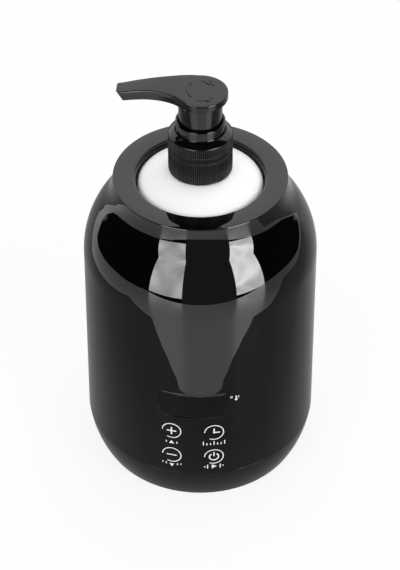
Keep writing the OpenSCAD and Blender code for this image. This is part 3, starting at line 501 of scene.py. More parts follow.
def rounded_point(u, v, half_w, half_h, corner):
    """Point of a rounded rectangle for a point (u, v) of the unit square's edge"""
    p = Vector((u * half_w, v * half_h))
    c = Vector((max(corner - half_w, min(half_w - corner, p.x)), max(corner - half_h, min(half_h - corner, p.y))))
    away = p - c
    return p if away.length < 1e-9 else c + away.normalized() * corner


def skin_rows():
    """Heights of the side's rows: closer over the bends, and exact at the edges of the two openings"""
    side = [SEAM_Z + 0.3, 24, 26, 28] + [28 + 1.25 * i for i in range(1, 17)] + [51, 54, 57, 60]
    side += [60 + 1.3 * i for i in range(1, 21)] + [86 + 3.2 * i for i in range(1, 14)]
    bend = [SHOULDER_Z + BEND_R * math.sin(LEAN * i / 28) for i in range(29)]
    sweep = [SWEEP_Z - SWEEP_R * math.sin(LEAN + (TOP_LEAN - LEAN) * i / 14) for i in range(1, 15)]
    return side + bend + sweep


def add_ring(skin, points):
    """Adds (point, normal) pairs to a skin, which is (vertices, normals, faces). Returns their numbers"""
    verts, normals, _ = skin
    first = len(verts)
    for p, n in points:
        verts.append(p)
        normals.append(n)
    return list(range(first, len(verts)))


def hoop(skin, r, z, tilt):
    """Adds a ring about Z, its normals at one angle above the horizontal"""
    across, up = math.cos(math.radians(tilt)), math.sin(math.radians(tilt))
    ways = [(math.cos(TAU * k / COLUMNS), math.sin(TAU * k / COLUMNS)) for k in range(COLUMNS)]
    return add_ring(skin, [(Vector((r * c, r * s, z)), Vector((across * c, across * s, up))) for c, s in ways])


def shell_skin(skin, depth, blocks):
    """Adds the shell's side at a depth, open inside each block, which is (middle angle, columns each way,
    bottom, top, opening). Returns the rows of vertices and the loop round each block"""
    heights = skin_rows()
    sign = 1 if depth == 0 else -1

    def at(k, z):
        p, n = on_side(TAU * k / COLUMNS, z, depth)
        if depth:
            p.z = min(max(p.z, SEAM_Z), TOP_Z - WALL)
        return p, n * sign

    rows = [add_ring(skin, [at(k, z) for k in range(COLUMNS)]) for z in heights]
    loops, spans = [], []
    for angle, half, z0, z1, _ in blocks:
        middle = round(angle / TAU * COLUMNS) % COLUMNS
        i0, i1 = [min(range(len(rows)), key=lambda i: abs(heights[i] - z)) for z in (z0, z1)]
        spans.append((middle, half, i0, i1))
        bottom = [rows[i0][(middle + k) % COLUMNS] for k in range(-half, half)]
        right = [rows[i][(middle + half) % COLUMNS] for i in range(i0, i1)]
        top = [rows[i1][(middle + k) % COLUMNS] for k in range(half, -half, -1)]
        left = [rows[i][(middle - half) % COLUMNS] for i in range(i1, i0, -1)]
        loops.append(bottom + right + top + left)

    def shut(i, k):
        return any(i0 <= i < i1 and (k - middle + half) % COLUMNS < 2 * half for middle, half, i0, i1 in spans)

    for i, (row, above) in enumerate(zip(rows, rows[1:])):
        quads = []
        band(quads, *((row, above)[::sign]))
        skin[2].extend(quad for k, quad in enumerate(quads) if not shut(i, k))
    return rows, loops


def hole_rings(skin, loop, block, depth, fillet):
    """Fills the side between a block's loop and its opening. Returns the opening's last ring"""
    angle, half, z0, z1, (half_w, half_h, corner, mid_z) = block
    sign = 1 if depth == 0 else -1
    across = 2 * half
    up = (len(loop) - 2 * across) // 2
    square = (
        [(-1 + 2 * i / across, -1) for i in range(across)] + [(1, -1 + 2 * i / up) for i in range(up)]
        + [(1 - 2 * i / across, 1) for i in range(across)] + [(-1, 1 - 2 * i / up) for i in range(up)]
    )

    def place(offset):
        return [rounded_point(u, v, half_w + offset, half_h + offset, corner + offset) for u, v in square]

    outer = []
    for index, (_, v) in zip(loop, square):
        p = skin[0][index]
        turn = (math.atan2(p.y, p.x) - angle + math.pi) % TAU - math.pi
        outer.append(Vector((side_at(p.z)[0] * math.sin(turn), v * (z1 - z0) / 2 + (z0 + z1) / 2 - mid_z)))
    inward = [(a - b).normalized() for a, b in zip(place(0.0), place(1.0))]

    def at(q, side, below, lean):
        p, n = across_side(angle, q.x, mid_z + q.y, below)
        if lean:
            out = Vector((-math.sin(angle) * side.x, math.cos(angle) * side.x, side.y))
            n = n * sign * math.cos(lean) + math.sin(lean) * out
            return p, n
        return p, n * sign

    def ring_of(points, below, lean=0.0):
        return add_ring(skin, [at(q, side, below, lean) for q, side in zip(points, inward)])

    # Steps from the block's loop in to the opening, closer near it, and then round the fillet
    rings = [loop]
    for t in (0.22, 0.45, 0.68, 0.86, 1.0):
        rings.append(ring_of([o.lerp(e, t) for o, e in zip(outer, place(fillet))], depth))
    if fillet:
        for lean, (inset, below) in zip((22.5, 45, 67.5, 90), quarter(fillet, 4)[1:]):
            rings.append(ring_of(place(inset), below, math.radians(lean)))
    for a, b in zip(rings, rings[1:]):
        band(skin[2], *((a, b)[::sign]))
    return rings[-1]


class WARMER_OT_shell(bpy.types.Operator):
    """Polished shell with its window and socket openings"""

    bl_idname = "warmer.shell"
    bl_label = "Outer shell"

    def execute(self, context):
        body = context.scene.warmer_body
        fillet = body.window_fillet / MM
        blocks = [(PANEL_ANGLE, 23, 60.0, 86.0, WINDOW), (-PANEL_ANGLE, 10, 28.0, 48.0, JACK)]
        skin = verts, normals, faces = [], [], []
        outside, out_loops = shell_skin(skin, 0.0, blocks)
        inside, in_loops = shell_skin(skin, WALL, blocks)
        for block, out_loop, in_loop in zip(blocks, out_loops, in_loops):
            outer = hole_rings(skin, out_loop, block, 0.0, fillet)
            self.wall(skin, outer, hole_rings(skin, in_loop, block, WALL, 0.0))
        self.rim(skin, outside[0], inside[0], body.seam_fillet / MM)
        self.lid(skin, inside[-1])
        piece("shell_gloss", (verts, faces), "gloss_abs", "warmer", ["outer_shell"], normals)
        return {"FINISHED"}

    def wall(self, skin, outer, inner):
        """Straight wall of an opening, with vertices of its own so that its edges stay crisp"""
        verts, normals, faces = skin
        band(faces, *[
            add_ring(skin, [(verts[i].copy(), normals[j]) for i, j in zip(ring, outer)]) for ring in (outer, inner)
        ])

    def rim(self, skin, outer, inner, fillet):
        """Bottom edge of the shell, rounded where it meets the base"""
        last = outer
        for lean, (rise, inset) in zip((0, 30, 60, 90), quarter(fillet, 3)):
            ring = hoop(skin, SEAM_R - inset, SEAM_Z + rise, -lean)
            band(skin[2], ring, last)
            last = ring
        band(skin[2], hoop(skin, SEAM_R - WALL, SEAM_Z, -90), last)
        band(skin[2], inner, hoop(skin, SEAM_R - WALL, SEAM_Z, 180))

    def lid(self, skin, inner):
        """Flat top of the shell, from its side in to the bore, and the bore's side"""
        low_z = TOP_Z - WALL
        for r0, r1, z, tilt in ((TOP_R, BORE_R, TOP_Z, 90), (BORE_R, BORE_R, low_z, 180)):
            band(skin[2], hoop(skin, r0, TOP_Z, tilt), hoop(skin, r1, z, tilt))
        band(skin[2], hoop(skin, BORE_R, low_z, -90), inner)


class WARMER_OT_base(bpy.types.Operator):
    """Base shell that leans in below the seam"""

    bl_idname = "warmer.base"
    bl_label = "Base"

    def execute(self, context):
        fillet = context.scene.warmer_body.seam_fillet / MM
        axis = (SEAM_R - BASE_BEND_R * math.cos(BASE_LEAN), SEAM_Z + BASE_BEND_R * math.sin(BASE_LEAN))
        edge = 1.0
        low_angle = math.asin((axis[1] - BASE_Z - edge) / (BASE_BEND_R - edge))
        edge_axis = (axis[0] + (BASE_BEND_R - edge) * math.cos(low_angle),
                     axis[1] - (BASE_BEND_R - edge) * math.sin(low_angle))
        side = arc(axis, BASE_BEND_R, -math.degrees(low_angle), -math.degrees(BASE_LEAN) - 0.1, 40)
        seam, inner_r, floor = SEAM_Z - 0.01, SEAM_R - WALL, 3.3
        profile = (
            [(0, BASE_Z), (30, BASE_Z), (52, BASE_Z)]
            + arc(edge_axis, edge, -90, -math.degrees(low_angle), 6)[:-1]
            + side
            + rounded_line([side[-1], (SEAM_R, seam, fillet), (inner_r, seam)])[1:]
            + [(inner_r, SEAM_Z - 1), (55, 8), (53, floor), (0, floor)]
        )
        solid = turned(profile, COLUMNS)
        piece("base_gloss", solid, "gloss_abs", "warmer", ["base_shell"], sharp=28)
        return {"FINISHED"}


class WARMER_OT_ring(bpy.types.Operator):
    """Top ring that holds the cup down"""

    bl_idname = "warmer.ring"
    bl_label = "Top ring"

    def execute(self, context):
        edge = context.scene.warmer_body.ring_fillet / MM
        top, foot = high("top_ring").z, low("top_ring").z
        axis = (TOP_R + RING_SIDE_R * math.cos(TOP_LEAN), TOP_Z + RING_SIDE_R * math.sin(TOP_LEAN))
        end = math.degrees(math.asin((axis[1] - top) / RING_SIDE_R))
        side = arc(axis, RING_SIDE_R, 180 + math.degrees(TOP_LEAN), 180 + end, 14)
        bore, lip, seat = 33.9, 33.0, 37.0
        lip_z, seat_z = top - 2.3, top - 5.2
        profile = side[:-1] + rounded_line([
            side[-2], (*side[-1], edge), (bore, top, 0.6), (bore, lip_z, 0.15), (lip, lip_z, 0.25), (lip, seat_z),
            (seat, seat_z), (seat, foot),
        ], steps=6)
        piece("ring_gloss", turned(profile, COLUMNS), "gloss_abs", "warmer", ["top_ring"])
        return {"FINISHED"}


class WARMER_OT_window(bpy.types.Operator):
    """Smoked pane, curved like the shell and set back in it"""

    bl_idname = "warmer.window"
    bl_label = "Display window"

    def execute(self, context):
        recess = context.scene.warmer_body.window_recess / MM
        half_w, half_h, corner, mid_z = WINDOW
        gap, thick, edge = 0.05, 2.2, 0.12
        square = [(u / max(abs(u), abs(v)), v / max(abs(u), abs(v))) for u, v in arc((0, 0), 1, 0, 360, 160)[:-1]]
        levels = [(t, edge, 0.0) for t in (0.0, 0.2, 0.4, 0.6, 0.8, 1.0)]
        levels += [(1.0, inset, depth) for inset, depth in quarter(edge, 3)[1:]] + [(1.0, 0.0, thick)]
        loops = []
        for t, inset, depth in levels:
            back = gap + inset
            flat = [rounded_point(u, v, half_w - back, half_h - back, corner - back) * t for u, v in square]
            loops.append([across_side(PANEL_ANGLE, q.x, mid_z + q.y, recess + depth)[0] for q in flat])
        solid = lofted(loops, capped=True)
        piece("window_pane", solid, "smoked_acrylic", "warmer", ["display_window"], sharp=50)
        return {"FINISHED"}


# --- printed symbols ----------------------------------------------------------------------------


def ribbon(points, width):
    """Strip of quads along points, split often enough to follow a curved face"""
    points = [Vector(p) for p in points]
    last = len(points) - 1
    verts = []
    for i, p in enumerate(points):
        along = (points[min(i + 1, last)] - points[max(i - 1, 0)]).normalized()
        side = Vector((-along.y, along.x)) * width / 2
        verts += [p + side, p - side]
    return verts, [[2 * i, 2 * i + 1, 2 * i + 3, 2 * i + 2] for i in range(last)]


def bar(x0, y0, x1, y1, width, steps=6):
    """Straight ribbon between two points"""
    return ribbon([(x0 + (x1 - x0) * i / steps, y0 + (y1 - y0) * i / steps) for i in range(steps + 1)], width)


def polygon(points):
    """Convex polygon as a fan round its middle"""
    pts = [Vector(p) for p in points]
    middle = sum(pts, Vector((0, 0))) / len(pts)
    verts = [middle] + pts
    return verts, [[0, i + 1, (i + 1) % len(pts) + 1] for i in range(len(pts))]


def disc(cx, cy, r, sides=16):
    """Filled circle"""
    return polygon(arc((cx, cy), r, 0, 360 - 360 / sides, sides - 1))


def prism(flat, place):
    """Thin closed solid from a flat pattern: place(x, y, top) gives each corner of its two faces"""
    verts, faces = flat
    n = len(verts)
    out = [place(v.x, v.y, top) for top in (True, False) for v in verts]
    edges = [(a, b) for f in faces for a, b in zip(f, f[1:] + f[:1])]
    solid = [list(f) for f in faces] + [[i + n for i in f][::-1] for f in faces]
    solid += [[b, a, a + n, b + n] for a, b in edges if (b, a) not in edges]
    return out, solid


# Places on the panel: the keys' distance each side of its middle, the heights of the two rows of keys and of the
# signs under them, and the sign beside the window
KEY_X, KEY_ROWS = 11.35, (53.7, 35.7)
SIGN_ROWS = (45.8, 28.3)
UNIT_PLACE = (22.4, 76.7)


def key_signs():
    """Flat patterns of the four keys: x along the side from the panel's middle, y the height"""
    x, (upper, lower) = KEY_X, KEY_ROWS
    r, width = 5.05, 0.55
    rings = [ribbon(arc((side * x, z), r, 180, -118, 60), width) for side in (-1, 1) for z in KEY_ROWS]
    plus = [bar(-x - 2.6, upper, -x + 2.6, upper, 0.8), bar(-x, upper - 2.6, -x, upper + 2.6, 0.8)]
    minus = [bar(-x - 2.8, lower, -x + 2.8, lower, 0.7)]
    clock = [bar(x, upper - 0.35, x, upper + 2.9, 0.75), bar(x - 0.35, upper, x + 3.1, upper, 0.75),
             disc(x, upper, 0.6)]
    power = [ribbon(arc((x, lower - 0.1), 2.45, 125, 415, 40), 0.7), bar(x, lower + 0.3, x, lower + 3.4, 0.7)]
    return rings + plus + minus + clock + power


def small_signs():
    """Plain signs under the keys: warmer, cooler, a row of minutes and a start mark, and one beside the window"""
    x, (upper, lower) = KEY_X, SIGN_ROWS
    marks = [
        polygon([(-x - 1.4, upper - 1.5), (-x + 1.4, upper - 1.5), (-x, upper + 0.7)]),
        polygon([(-x - 1.4, lower + 0.7), (-x, lower - 1.5), (-x + 1.4, lower + 0.7)]),
        polygon([(x - 1.2, lower - 1.5), (x + 1.5, lower), (x - 1.2, lower + 1.5)]),
    ]
    for side in (-1, 1):
        dash = -x + side * 2.9
        marks.append(bar(dash, upper - 1.3, dash, upper + 0.1, 0.55))
        for i in range(2):
            dash = -x + side * (3.1 + 1.9 * i)
            marks.append(bar(dash, lower + 1.4, dash, lower + 0.5 * i, 0.55))
        marks.append(bar(x + side * 3.4, lower - 1.4, x + side * 3.4, lower + 1.4, 0.6))
        marks.append(disc(x + side * 4.9, lower, 0.42, 12))
    for i in range(7):
        tick = x - 5.7 + 1.9 * i
        marks.append(bar(tick, upper - 1.3, tick, upper + (1.4 if i % 3 == 0 else 0.2), 0.55))
    # A degree ring and a thermometer
    x, z = UNIT_PLACE
    stem = x + 0.6
    marks += [ribbon(arc((x - 2.0, z + 1.0), 0.55, 0, 360, 20), 0.35), bar(stem, z - 0.7, stem, z + 1.5, 0.55),
              disc(stem, z - 1.0, 0.75, 14)]
    marks += [bar(x + 1.4, z + rise, x + 2.3, z + rise, 0.35) for rise in (0.3, 1.1)]
    return marks


class WARMER_OT_print(bpy.types.Operator):
    """Printed key rings and symbols, a skin of ink on the gloss"""

    bl_idname = "warmer.print"
    bl_label = "Panel print"

    def execute(self, context):
        lift = context.scene.warmer_body.print_lift / MM
        sunk = 0.03

        def place(x, z, top):
            r = side_at(z)[0]
            return on_side(PANEL_ANGLE + x / r, z, -lift if top else sunk)[0]

        solid = join(*[prism(flat, place) for flat in key_signs() + small_signs()])
        piece("panel_print", solid, "screen_ink", "warmer")
        return {"FINISHED"}


# --- fittings on the body -----------------------------------------------------------------------


def turned_y(profile, columns, y0, z):
    """Profile of (r, distance along Y) turned about a line along Y at height z"""
    verts, faces = turned(profile, columns)
    return [(v[0], y0 + v[2], z - v[1]) for v in verts], faces


class WARMER_OT_socket(bpy.types.Operator):
    """DC socket in the back: a moulded rim, a sprung sleeve and the centre pin"""

    bl_idname = "warmer.socket"
    bl_label = "DC socket"

    def execute(self, context):
        z = JACK[3]
        back = low("dc_jack").y
        depth = high("dc_jack").y - back
        body_r, flange_r, mouth_r, sleeve_r, pin_r = 5.5, 6.8, 2.9, 2.88, 1.0
        flange, end = depth - 1.5, depth - 9.5
        housing = rounded_line([
            (0, 3.6), (body_r, 3.6, 0.3), (body_r, flange), (flange_r, flange, 0.1), (flange_r, depth, 0.35),
            (3.3, depth, 0.4), (mouth_r, depth - 0.8), (mouth_r, end), (0, end),
        ], steps=4)
        housing = turned_y(housing, 96, back, z)
        piece("socket_housing", housing, "component_epoxy", "warmer", ["dc_jack"])
        sleeve = rounded_line([
            (sleeve_r, end + 0.2), (sleeve_r, depth - 2.2, 0.1), (2.66, depth - 2.2, 0.1), (2.66, end + 0.2),
        ], steps=2, closed=True)
        pin = rounded_line([(0, end - 0.5), (pin_r, end - 0.5), (pin_r, depth - 1, 0.45), (0, depth - 1)], steps=4)
        metal = join(turned_y(sleeve, 64, back, z), turned_y(pin, 40, back, z),
                     *[self.tab(x, back, z) for x in (-2.6, 2.6)])
        piece("socket_contacts", metal, "contact_nickel", "warmer")
        return {"FINISHED"}

    def tab(self, x, back, z):
        """Solder tab with a rounded end"""
        half_w, half_t = 1.5, 0.35
        edge = [(half_w, 3.9), (half_w, 0.9), (0.9, 0.1), (-0.9, 0.1), (-half_w, 0.9), (-half_w, 3.9)]
        return lofted([[(x + side * half_t, back + y, z + dz) for dz, y in edge] for side in (-1, 1)], capped=True)


class WARMER_OT_feet(bpy.types.Operator):
    """Four rubber feet with rounded edges and a dimple"""

    bl_idname = "warmer.feet"
    bl_label = "Feet"

    def execute(self, context):
        circle, r = 46.5, 6.5
        profile = rounded_line([
            (0, 0.25), (2.0, 0.25, 0.2), (2.4, 0.0, 0.2), (r, 0.0, 0.5), (r, 1.7), (0, 1.7)], steps=4)
        verts, faces = turned(profile, 72)
        feet = [([(v[0] + x, v[1] + y, v[2]) for v in verts], faces) for x, y in arc((0, 0), circle, 45, 315, 3)]
        piece("rubber_feet", join(*feet), "foot_rubber", "warmer", ["feet"])
        return {"FINISHED"}


class WARMER_OT_cup(bpy.types.Operator):
    """Spun aluminium cup that the bottle stands in"""

    bl_idname = "warmer.cup"
    bl_label = "Heating cup"

    def execute(self, context):
        lo, hi = low("heating_cup"), high("heating_cup")
        inner, wall = 33.0, 1.0
        outer = inner + wall
        brim, floor = hi.z - wall, lo.z + wall
        profile = rounded_line([
            (0, lo.z), (outer, lo.z, 4.0), (outer, brim, 0.3), (hi.x, brim, 0.2), (hi.x, hi.z, 0.3),
            (inner, hi.z, 0.5), (inner, floor, 3.0), (8, floor), (0, floor),
        ], steps=8)
        piece("cup_spun", turned(profile, 240), "spun_aluminium", "warmer", ["heating_cup"])
        return {"FINISHED"}


# --- bottle -------------------------------------------------------------------------------------


def bottle_side():
    """Outer line of the bottle from its foot to the root of its neck"""
    r, foot = 32.2, low("bottle").z
    edge_z, edge, dome, turn = 171.9, 5.3, 40.5, 54
    start = math.radians(turn)
    dome_r = r - edge * (1 - math.cos(start))
    dome_z = edge_z + edge * math.sin(start)
    axis = (dome_r - dome * math.cos(start), dome_z - dome * math.sin(start))
    return (
        rounded_line([(0, foot + 1.2), (18, foot + 1.2, 2), (24, foot, 2), (r, foot, 4), (r, foot + 30)], steps=7)
        + [(r, edge_z - 60), (r, edge_z - 20)]
        + arc((r - edge, edge_z), edge, 0, turn, 12)
        + arc(axis, dome, turn + 2, turn + 22, 16)
    )


class WARMER_OT_bottle(bpy.types.Operator):
    """White bottle with a domed shoulder and a threaded neck"""

    bl_idname = "warmer.bottle"
    bl_label = "Bottle"

    def execute(self, context):
        side = bottle_side()
        neck_top = high("bottle").z - 0.03
        neck_r, mouth_r, wall = 13.1, 10.9, 1.2
        inside_r, floor = 31, 36.4
        root = side[-1]
        profile = side + rounded_line([
            root, (neck_r + 0.1, root[1] + 0.45, 0.4), (neck_r, root[1] + 2), (neck_r, neck_top, 0.3),
            (mouth_r, neck_top, 0.4), (mouth_r, root[1] - wall), (24, root[1] - 4.5, 4), (inside_r, 171, 4),
            (inside_r, 60), (inside_r, floor, 3), (0, floor),
        ], steps=5)[1:]
        piece("bottle_white", turned(profile, 240), "bottle_polyethylene", "bottle", ["bottle"])
        pitch, turns, steps = 4.233, 1.6, 120
        start = neck_top - 2.2 - pitch * turns
        circle = arc((0, 0), neck_r, 0, 360 * turns, steps)
        path = [(x, y, start + pitch * turns * i / steps) for i, (x, y) in enumerate(circle)]

        def swell(t):
            return 0.85 * min(1.0, 0.15 + 7 * min(t, 1 - t))

        piece("bottle_thread", tube(path, swell, 14), "bottle_polyethylene", "bottle")
        return {"FINISHED"}


# --- pump ---------------------------------------------------------------------------------------


class WARMER_OT_closure(bpy.types.Operator):
    """Screw closure with fine grip ribs, two moulded lines and a conical top"""

    bl_idname = "warmer.closure"
    bl_label = "Closure"

    def execute(self, context):
        pump = context.scene.warmer_pump
        foot = low("closure").z
        r, bore, cone_r = 16.35, 14.3, 12.8
        rim, cone_top, roof = foot + 21.8, foot + 24.4, foot + 20.2
        ribs, depth = pump.ribs, pump.rib_depth / MM
        rib_foot, rib_top = foot + 0.7, rim - 0.25
        beads = (rim - 9.5, rim - 5.9)

        def ribbed(radius, z, a):
            on_bead = any(bead - 0.01 < z < bead + 0.41 for bead in beads)
            if radius < r - 0.21 or on_bead or not rib_foot < z < rib_top:
                return radius
            return radius - depth * (1 - (0.5 + 0.5 * math.cos(ribs * a)) ** 0.6)

        def rows(z0, z1, count):
            return [(r, z0 + (z1 - z0) * i / count) for i in range(count + 1)]

        def bead_at(z):
            return [(r + 0.04, z + 0.02), (r + 0.1, z + 0.08), (r + 0.1, z + 0.32), (r + 0.04, z + 0.38)]

        heel, under, over = r - 0.1, 0.12, 0.5
        profile = (
            rounded_line([(bore, foot), (heel, foot, 0.3), (heel, rib_foot - 0.1, 0.15), (r - 0.45, rib_foot)],
                         steps=4)[1:]
            + rows(rib_foot + 0.05, beads[0] - under, 9) + bead_at(beads[0])
            + rows(beads[0] + over, beads[1] - under, 4) + bead_at(beads[1])
            + rows(beads[1] + over, rib_top - 0.05, 5)
            + rounded_line([
                (r - 0.35, rim - 0.3), (r - 0.5, rim - 0.02, 0.25), (cone_r, cone_top, 0.2), (cone_r, roof),
                (bore, roof), (bore, foot),
            ], steps=4)
        )
        solid = turned(profile, ribs * 8, ribbed)
        obj = piece("closure_ribbed", solid, "grip_polypropylene", "closure", ["closure"], sharp=40)
        # Foot and cone are bright, and only the ribbed side between them is dulled
        obj.data.materials.append(finish_of("bright_polypropylene"))
        for face in obj.data.polygons:
            z = face.center.z / MM
            face.material_index = int(z > rim + 0.02 or z < rib_foot - 0.05)
        return {"FINISHED"}


class WARMER_OT_collar(bpy.types.Operator):
    """Lock collar: a bright cup that the head's skirt drops into"""

    bl_idname = "warmer.collar"
    bl_label = "Lock collar"

    def execute(self, context):
        lo, hi = low("lock_collar"), high("lock_collar")
        r, bore, flange_r, boss_r, stem_r = 12.5, 11.4, 14.0, 5.95, 3.56
        foot, floor = lo.z + 4.8, lo.z + 6.0
        flange_low, flange_top = lo.z + 9.7, lo.z + 11.1
        groove = hi.z - 5.0
        profile = rounded_line([
            (stem_r, lo.z), (boss_r, lo.z, 0.3), (boss_r, foot), (r, foot, 0.2), (r, flange_low),
            (flange_r, flange_low, 0.2), (flange_r, flange_top, 0.2), (r, flange_top), (r, groove - 0.2, 0.1),
            (r - 0.12, groove, 0.1), (r, groove + 0.2, 0.1), (r, hi.z, 0.3), (bore, hi.z, 0.25),
            (bore, floor, 0.4), (stem_r, floor),
        ], steps=4, closed=True)
        piece("collar_bright", turned(profile, 200), "bright_polypropylene", "pump", ["lock_collar"])
        return {"FINISHED"}


class WARMER_OT_spring(bpy.types.Operator):
    """Coil spring of the pump, at the length it has in the frame; the real one shortens as the head is pressed"""

    bl_idname = "warmer.spring"
    bl_label = "Pump spring"

    def execute(self, context):
        lo, hi = low("pump_spring").z + 0.02, high("pump_spring").z - 0.02
        wire, r, curls, end_pitch, stroke = 0.9, 4.0, 8, 1.4, 12.5
        span = hi - lo - wire
        steps = 24 * curls
        path = []
        for i, (x, y) in enumerate(arc((0, 0), r, 0, 360 * curls, steps)):
            turn = curls * i / steps
            climb = end_pitch + (turn - 1) * (span - 2 * end_pitch) / (curls - 2)
            if turn <= 1:
                climb = turn * end_pitch
            elif turn >= curls - 1:
                climb = span - (curls - turn) * end_pitch
            path.append((x, y, lo + wire / 2 + climb))
        obj = piece("spring_coiled", tube(path, wire / 2, 10), "zinc_steel", "pump", ["pump_spring"])
        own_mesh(obj)
        return {"FINISHED"}


# Half widths of the nozzle, seen from above, at its reach from the axis
NOZZLE_WIDTHS = [
    (7.0, 11.83), (10.0, 10.1), (13.0, 8.5), (16.0, 7.35), (20.0, 6.15), (24.0, 5.25), (28.0, 4.6), (32.0, 4.25),
    (36.0, 3.95), (40.6, 3.6),
]
# Heights of its top above the flat of the head, and of its underside above the head's
NOZZLE_TOPS = [
    (-14.0, 0.0), (0.0, 0.0), (3.0, 0.2), (6.0, 0.95), (9.0, 1.85), (12.0, 2.65), (16.0, 3.2), (20.0, 3.38),
    (24.0, 3.3), (28.0, 2.9), (32.0, 2.25), (36.0, 1.4), (41.4, 0.4),
]
NOZZLE_FEET = [
    (-14.0, 0.0), (9.0, 0.0), (13.0, 0.4), (16.0, 0.65), (20.0, 0.7), (24.0, 0.5), (28.0, 0.1), (32.0, -0.45),
    (36.0, -1.0), (41.4, -1.6),
]
NOZZLE_REACH = NOZZLE_TOPS[-1][0]
# The round part: heights of its top and underside, and how far its top bulges
HEAD_TOP, HEAD_UNDER, HEAD_CROWN = 229.82, 226.02, 0.05


def curve_through(points, at):
    """Smooth curve through (x, y) points, read at x"""
    i = max(0, min(len(points) - 2, bisect_left([p[0] for p in points], at) - 1))
    (x0, y0), (x1, y1) = points[i], points[i + 1]
    before, after = points[max(i - 1, 0)], points[min(i + 2, len(points) - 1)]
    h = x1 - x0
    m0 = h * (y1 - before[1]) / (x1 - before[0])
    m1 = h * (after[1] - y0) / (after[0] - x0)
    t = (at - x0) / h
    return ((2 * t**3 - 3 * t**2 + 1) * y0 + (t**3 - 2 * t**2 + t) * m0
            + (-2 * t**3 + 3 * t**2) * y1 + (t**3 - t**2) * m1)


def head_outline(r):
    """Points (reach, half width) of the head from above, from its round end to the middle of the tip"""
    root, (tip, tip_w) = NOZZLE_WIDTHS[0][0], NOZZLE_WIDTHS[-1]
    corner, steps = 0.7, 75
    line = arc((0, 0), r, 180, 180 - math.degrees(math.acos(-root / r)), 69)
    for i in range(1, steps + 1):
        reach = root + (tip - root) * i / steps
        line.append((reach, curve_through(NOZZLE_WIDTHS, reach)))
    line += arc((NOZZLE_REACH - corner, tip_w - corner), corner, 70, 0, 7)
    return line + [(NOZZLE_REACH, w) for w in (2.3, 1.8, 1.2, 0.6, 0.0)]


class WARMER_OT_head(bpy.types.Operator):
    """Head: a round pad that runs out into an arched nozzle, over a skirt"""

    bl_idname = "warmer.head"
    bl_label = "Actuator head"

    def execute(self, context):
        fillet = context.scene.warmer_pump.nozzle_fillet / MM
        skirt_foot = low("actuator_head").z
        line = head_outline(high("actuator_head").x)
        last = len(line) - 1
        loops = []
        for i, (reach, w) in enumerate(line):
            a, b = line[max(i - 1, 0)], line[min(i + 1, last)]
            along = Vector((b[0] - a[0], b[1] - a[1])).normalized()
            out = {0: Vector((-1, 0)), last: Vector((1, 0))}.get(i, Vector((-along.y, along.x)))
            loops.append(self.section(reach, w, out, fillet))
        solid = lofted(loops)
        obj = piece("head_arched", solid, "head_polypropylene", "head", ["actuator_head"], sharp=45)
        # The mouth is bored along the way that the nozzle points at its tip
        end, down = Vector((1.9 - NOZZLE_REACH, 0, HEAD_TOP - 3.0)), Vector((-0.79, 0, -0.61))
        carve(obj, mesh_of("mouth", *tube([end - down * 5, end - down * 2, end + down * 4], 1.3, 40)))
        obj.data.set_sharp_from_angle(angle=math.radians(45))
        skirt_r, bore, socket_r, stem_r = 11.0, 9.9, 5.2, 3.52
        roof, ledge = HEAD_UNDER + 0.4, HEAD_UNDER - 0.6
        skirt = rounded_line([
            (bore, skirt_foot, 0.2), (skirt_r, skirt_foot, 0.25), (skirt_r, roof), (9.0, roof), (9.0, ledge),
            (bore, ledge, 0.4),
        ], steps=4, closed=True)
        socket = rounded_line([
            (stem_r, skirt_foot + 1, 0.2), (socket_r, skirt_foot + 1, 0.3), (socket_r, roof), (stem_r, roof),
        ], steps=3, closed=True)
        solid = join(turned(skirt, 180), turned(socket, 90))
        piece("head_skirt", solid, "bright_polypropylene", "head")
        return {"FINISHED"}

    def section(self, reach, w, out, fillet):
        """Closed loop across the head at one point of its outline, from the middle of the top round"""
        z_top = HEAD_TOP + curve_through(NOZZLE_TOPS, reach)
        z_under = HEAD_UNDER + curve_through(NOZZLE_FEET, reach)
        round_part = max(0.0, min(1.0, (12 - reach) / 10))
        edge, low_edge = fillet + (0.45 - fillet) * round_part, 0.5
        # The tip is cut off at a slant, and the nozzle narrows towards its underside
        slope = max(0.0, min(1.0, (reach - 33) / (NOZZLE_REACH - 33)))
        slant = 2.9 * slope * slope * (3 - 2 * slope)
        narrow = 1 - 0.1 * (1 - round_part)

        def at(inset, z, lean_back=0.0, shrink=1.0):
            return reach - out.x * inset - lean_back, max(0.0, (w - out.y * inset)) * shrink, z

        side = [at(inset, z_top - below) for inset, below in quarter(edge, 6)]
        wall_top, wall = z_top - edge, z_top - edge - z_under - low_edge
        # A fine groove runs under the top edge, where the tool's halves met
        for t, inset in ((0.04, 0), (0.08, 0.16), (0.16, 0.16), (0.2, 0), (0.5, 0), (0.75, 0)):
            side.append(at(inset, wall_top - wall * t, slant * t, 1 - (1 - narrow) * t))
        side += [at(inset, z_under + rise, slant, narrow) for rise, inset in quarter(low_edge, 5)]
        across = 8
        upper, lower = side[0], side[-1]
        top_row = [(upper[0], upper[1] * k / across, upper[2] + HEAD_CROWN * (1 - (k / across) ** 2))
                   for k in range(across)]
        low_row = [(lower[0], lower[1] * k / across, lower[2]) for k in range(across - 1, 0, -1)]
        half = top_row + side + low_row
        far = [(-x, y, z) for x, y, z in half]
        near = [(-x, -y, z) for x, y, z in half]
        return far + [(-lower[0], 0.0, lower[2])] + near[:0:-1]


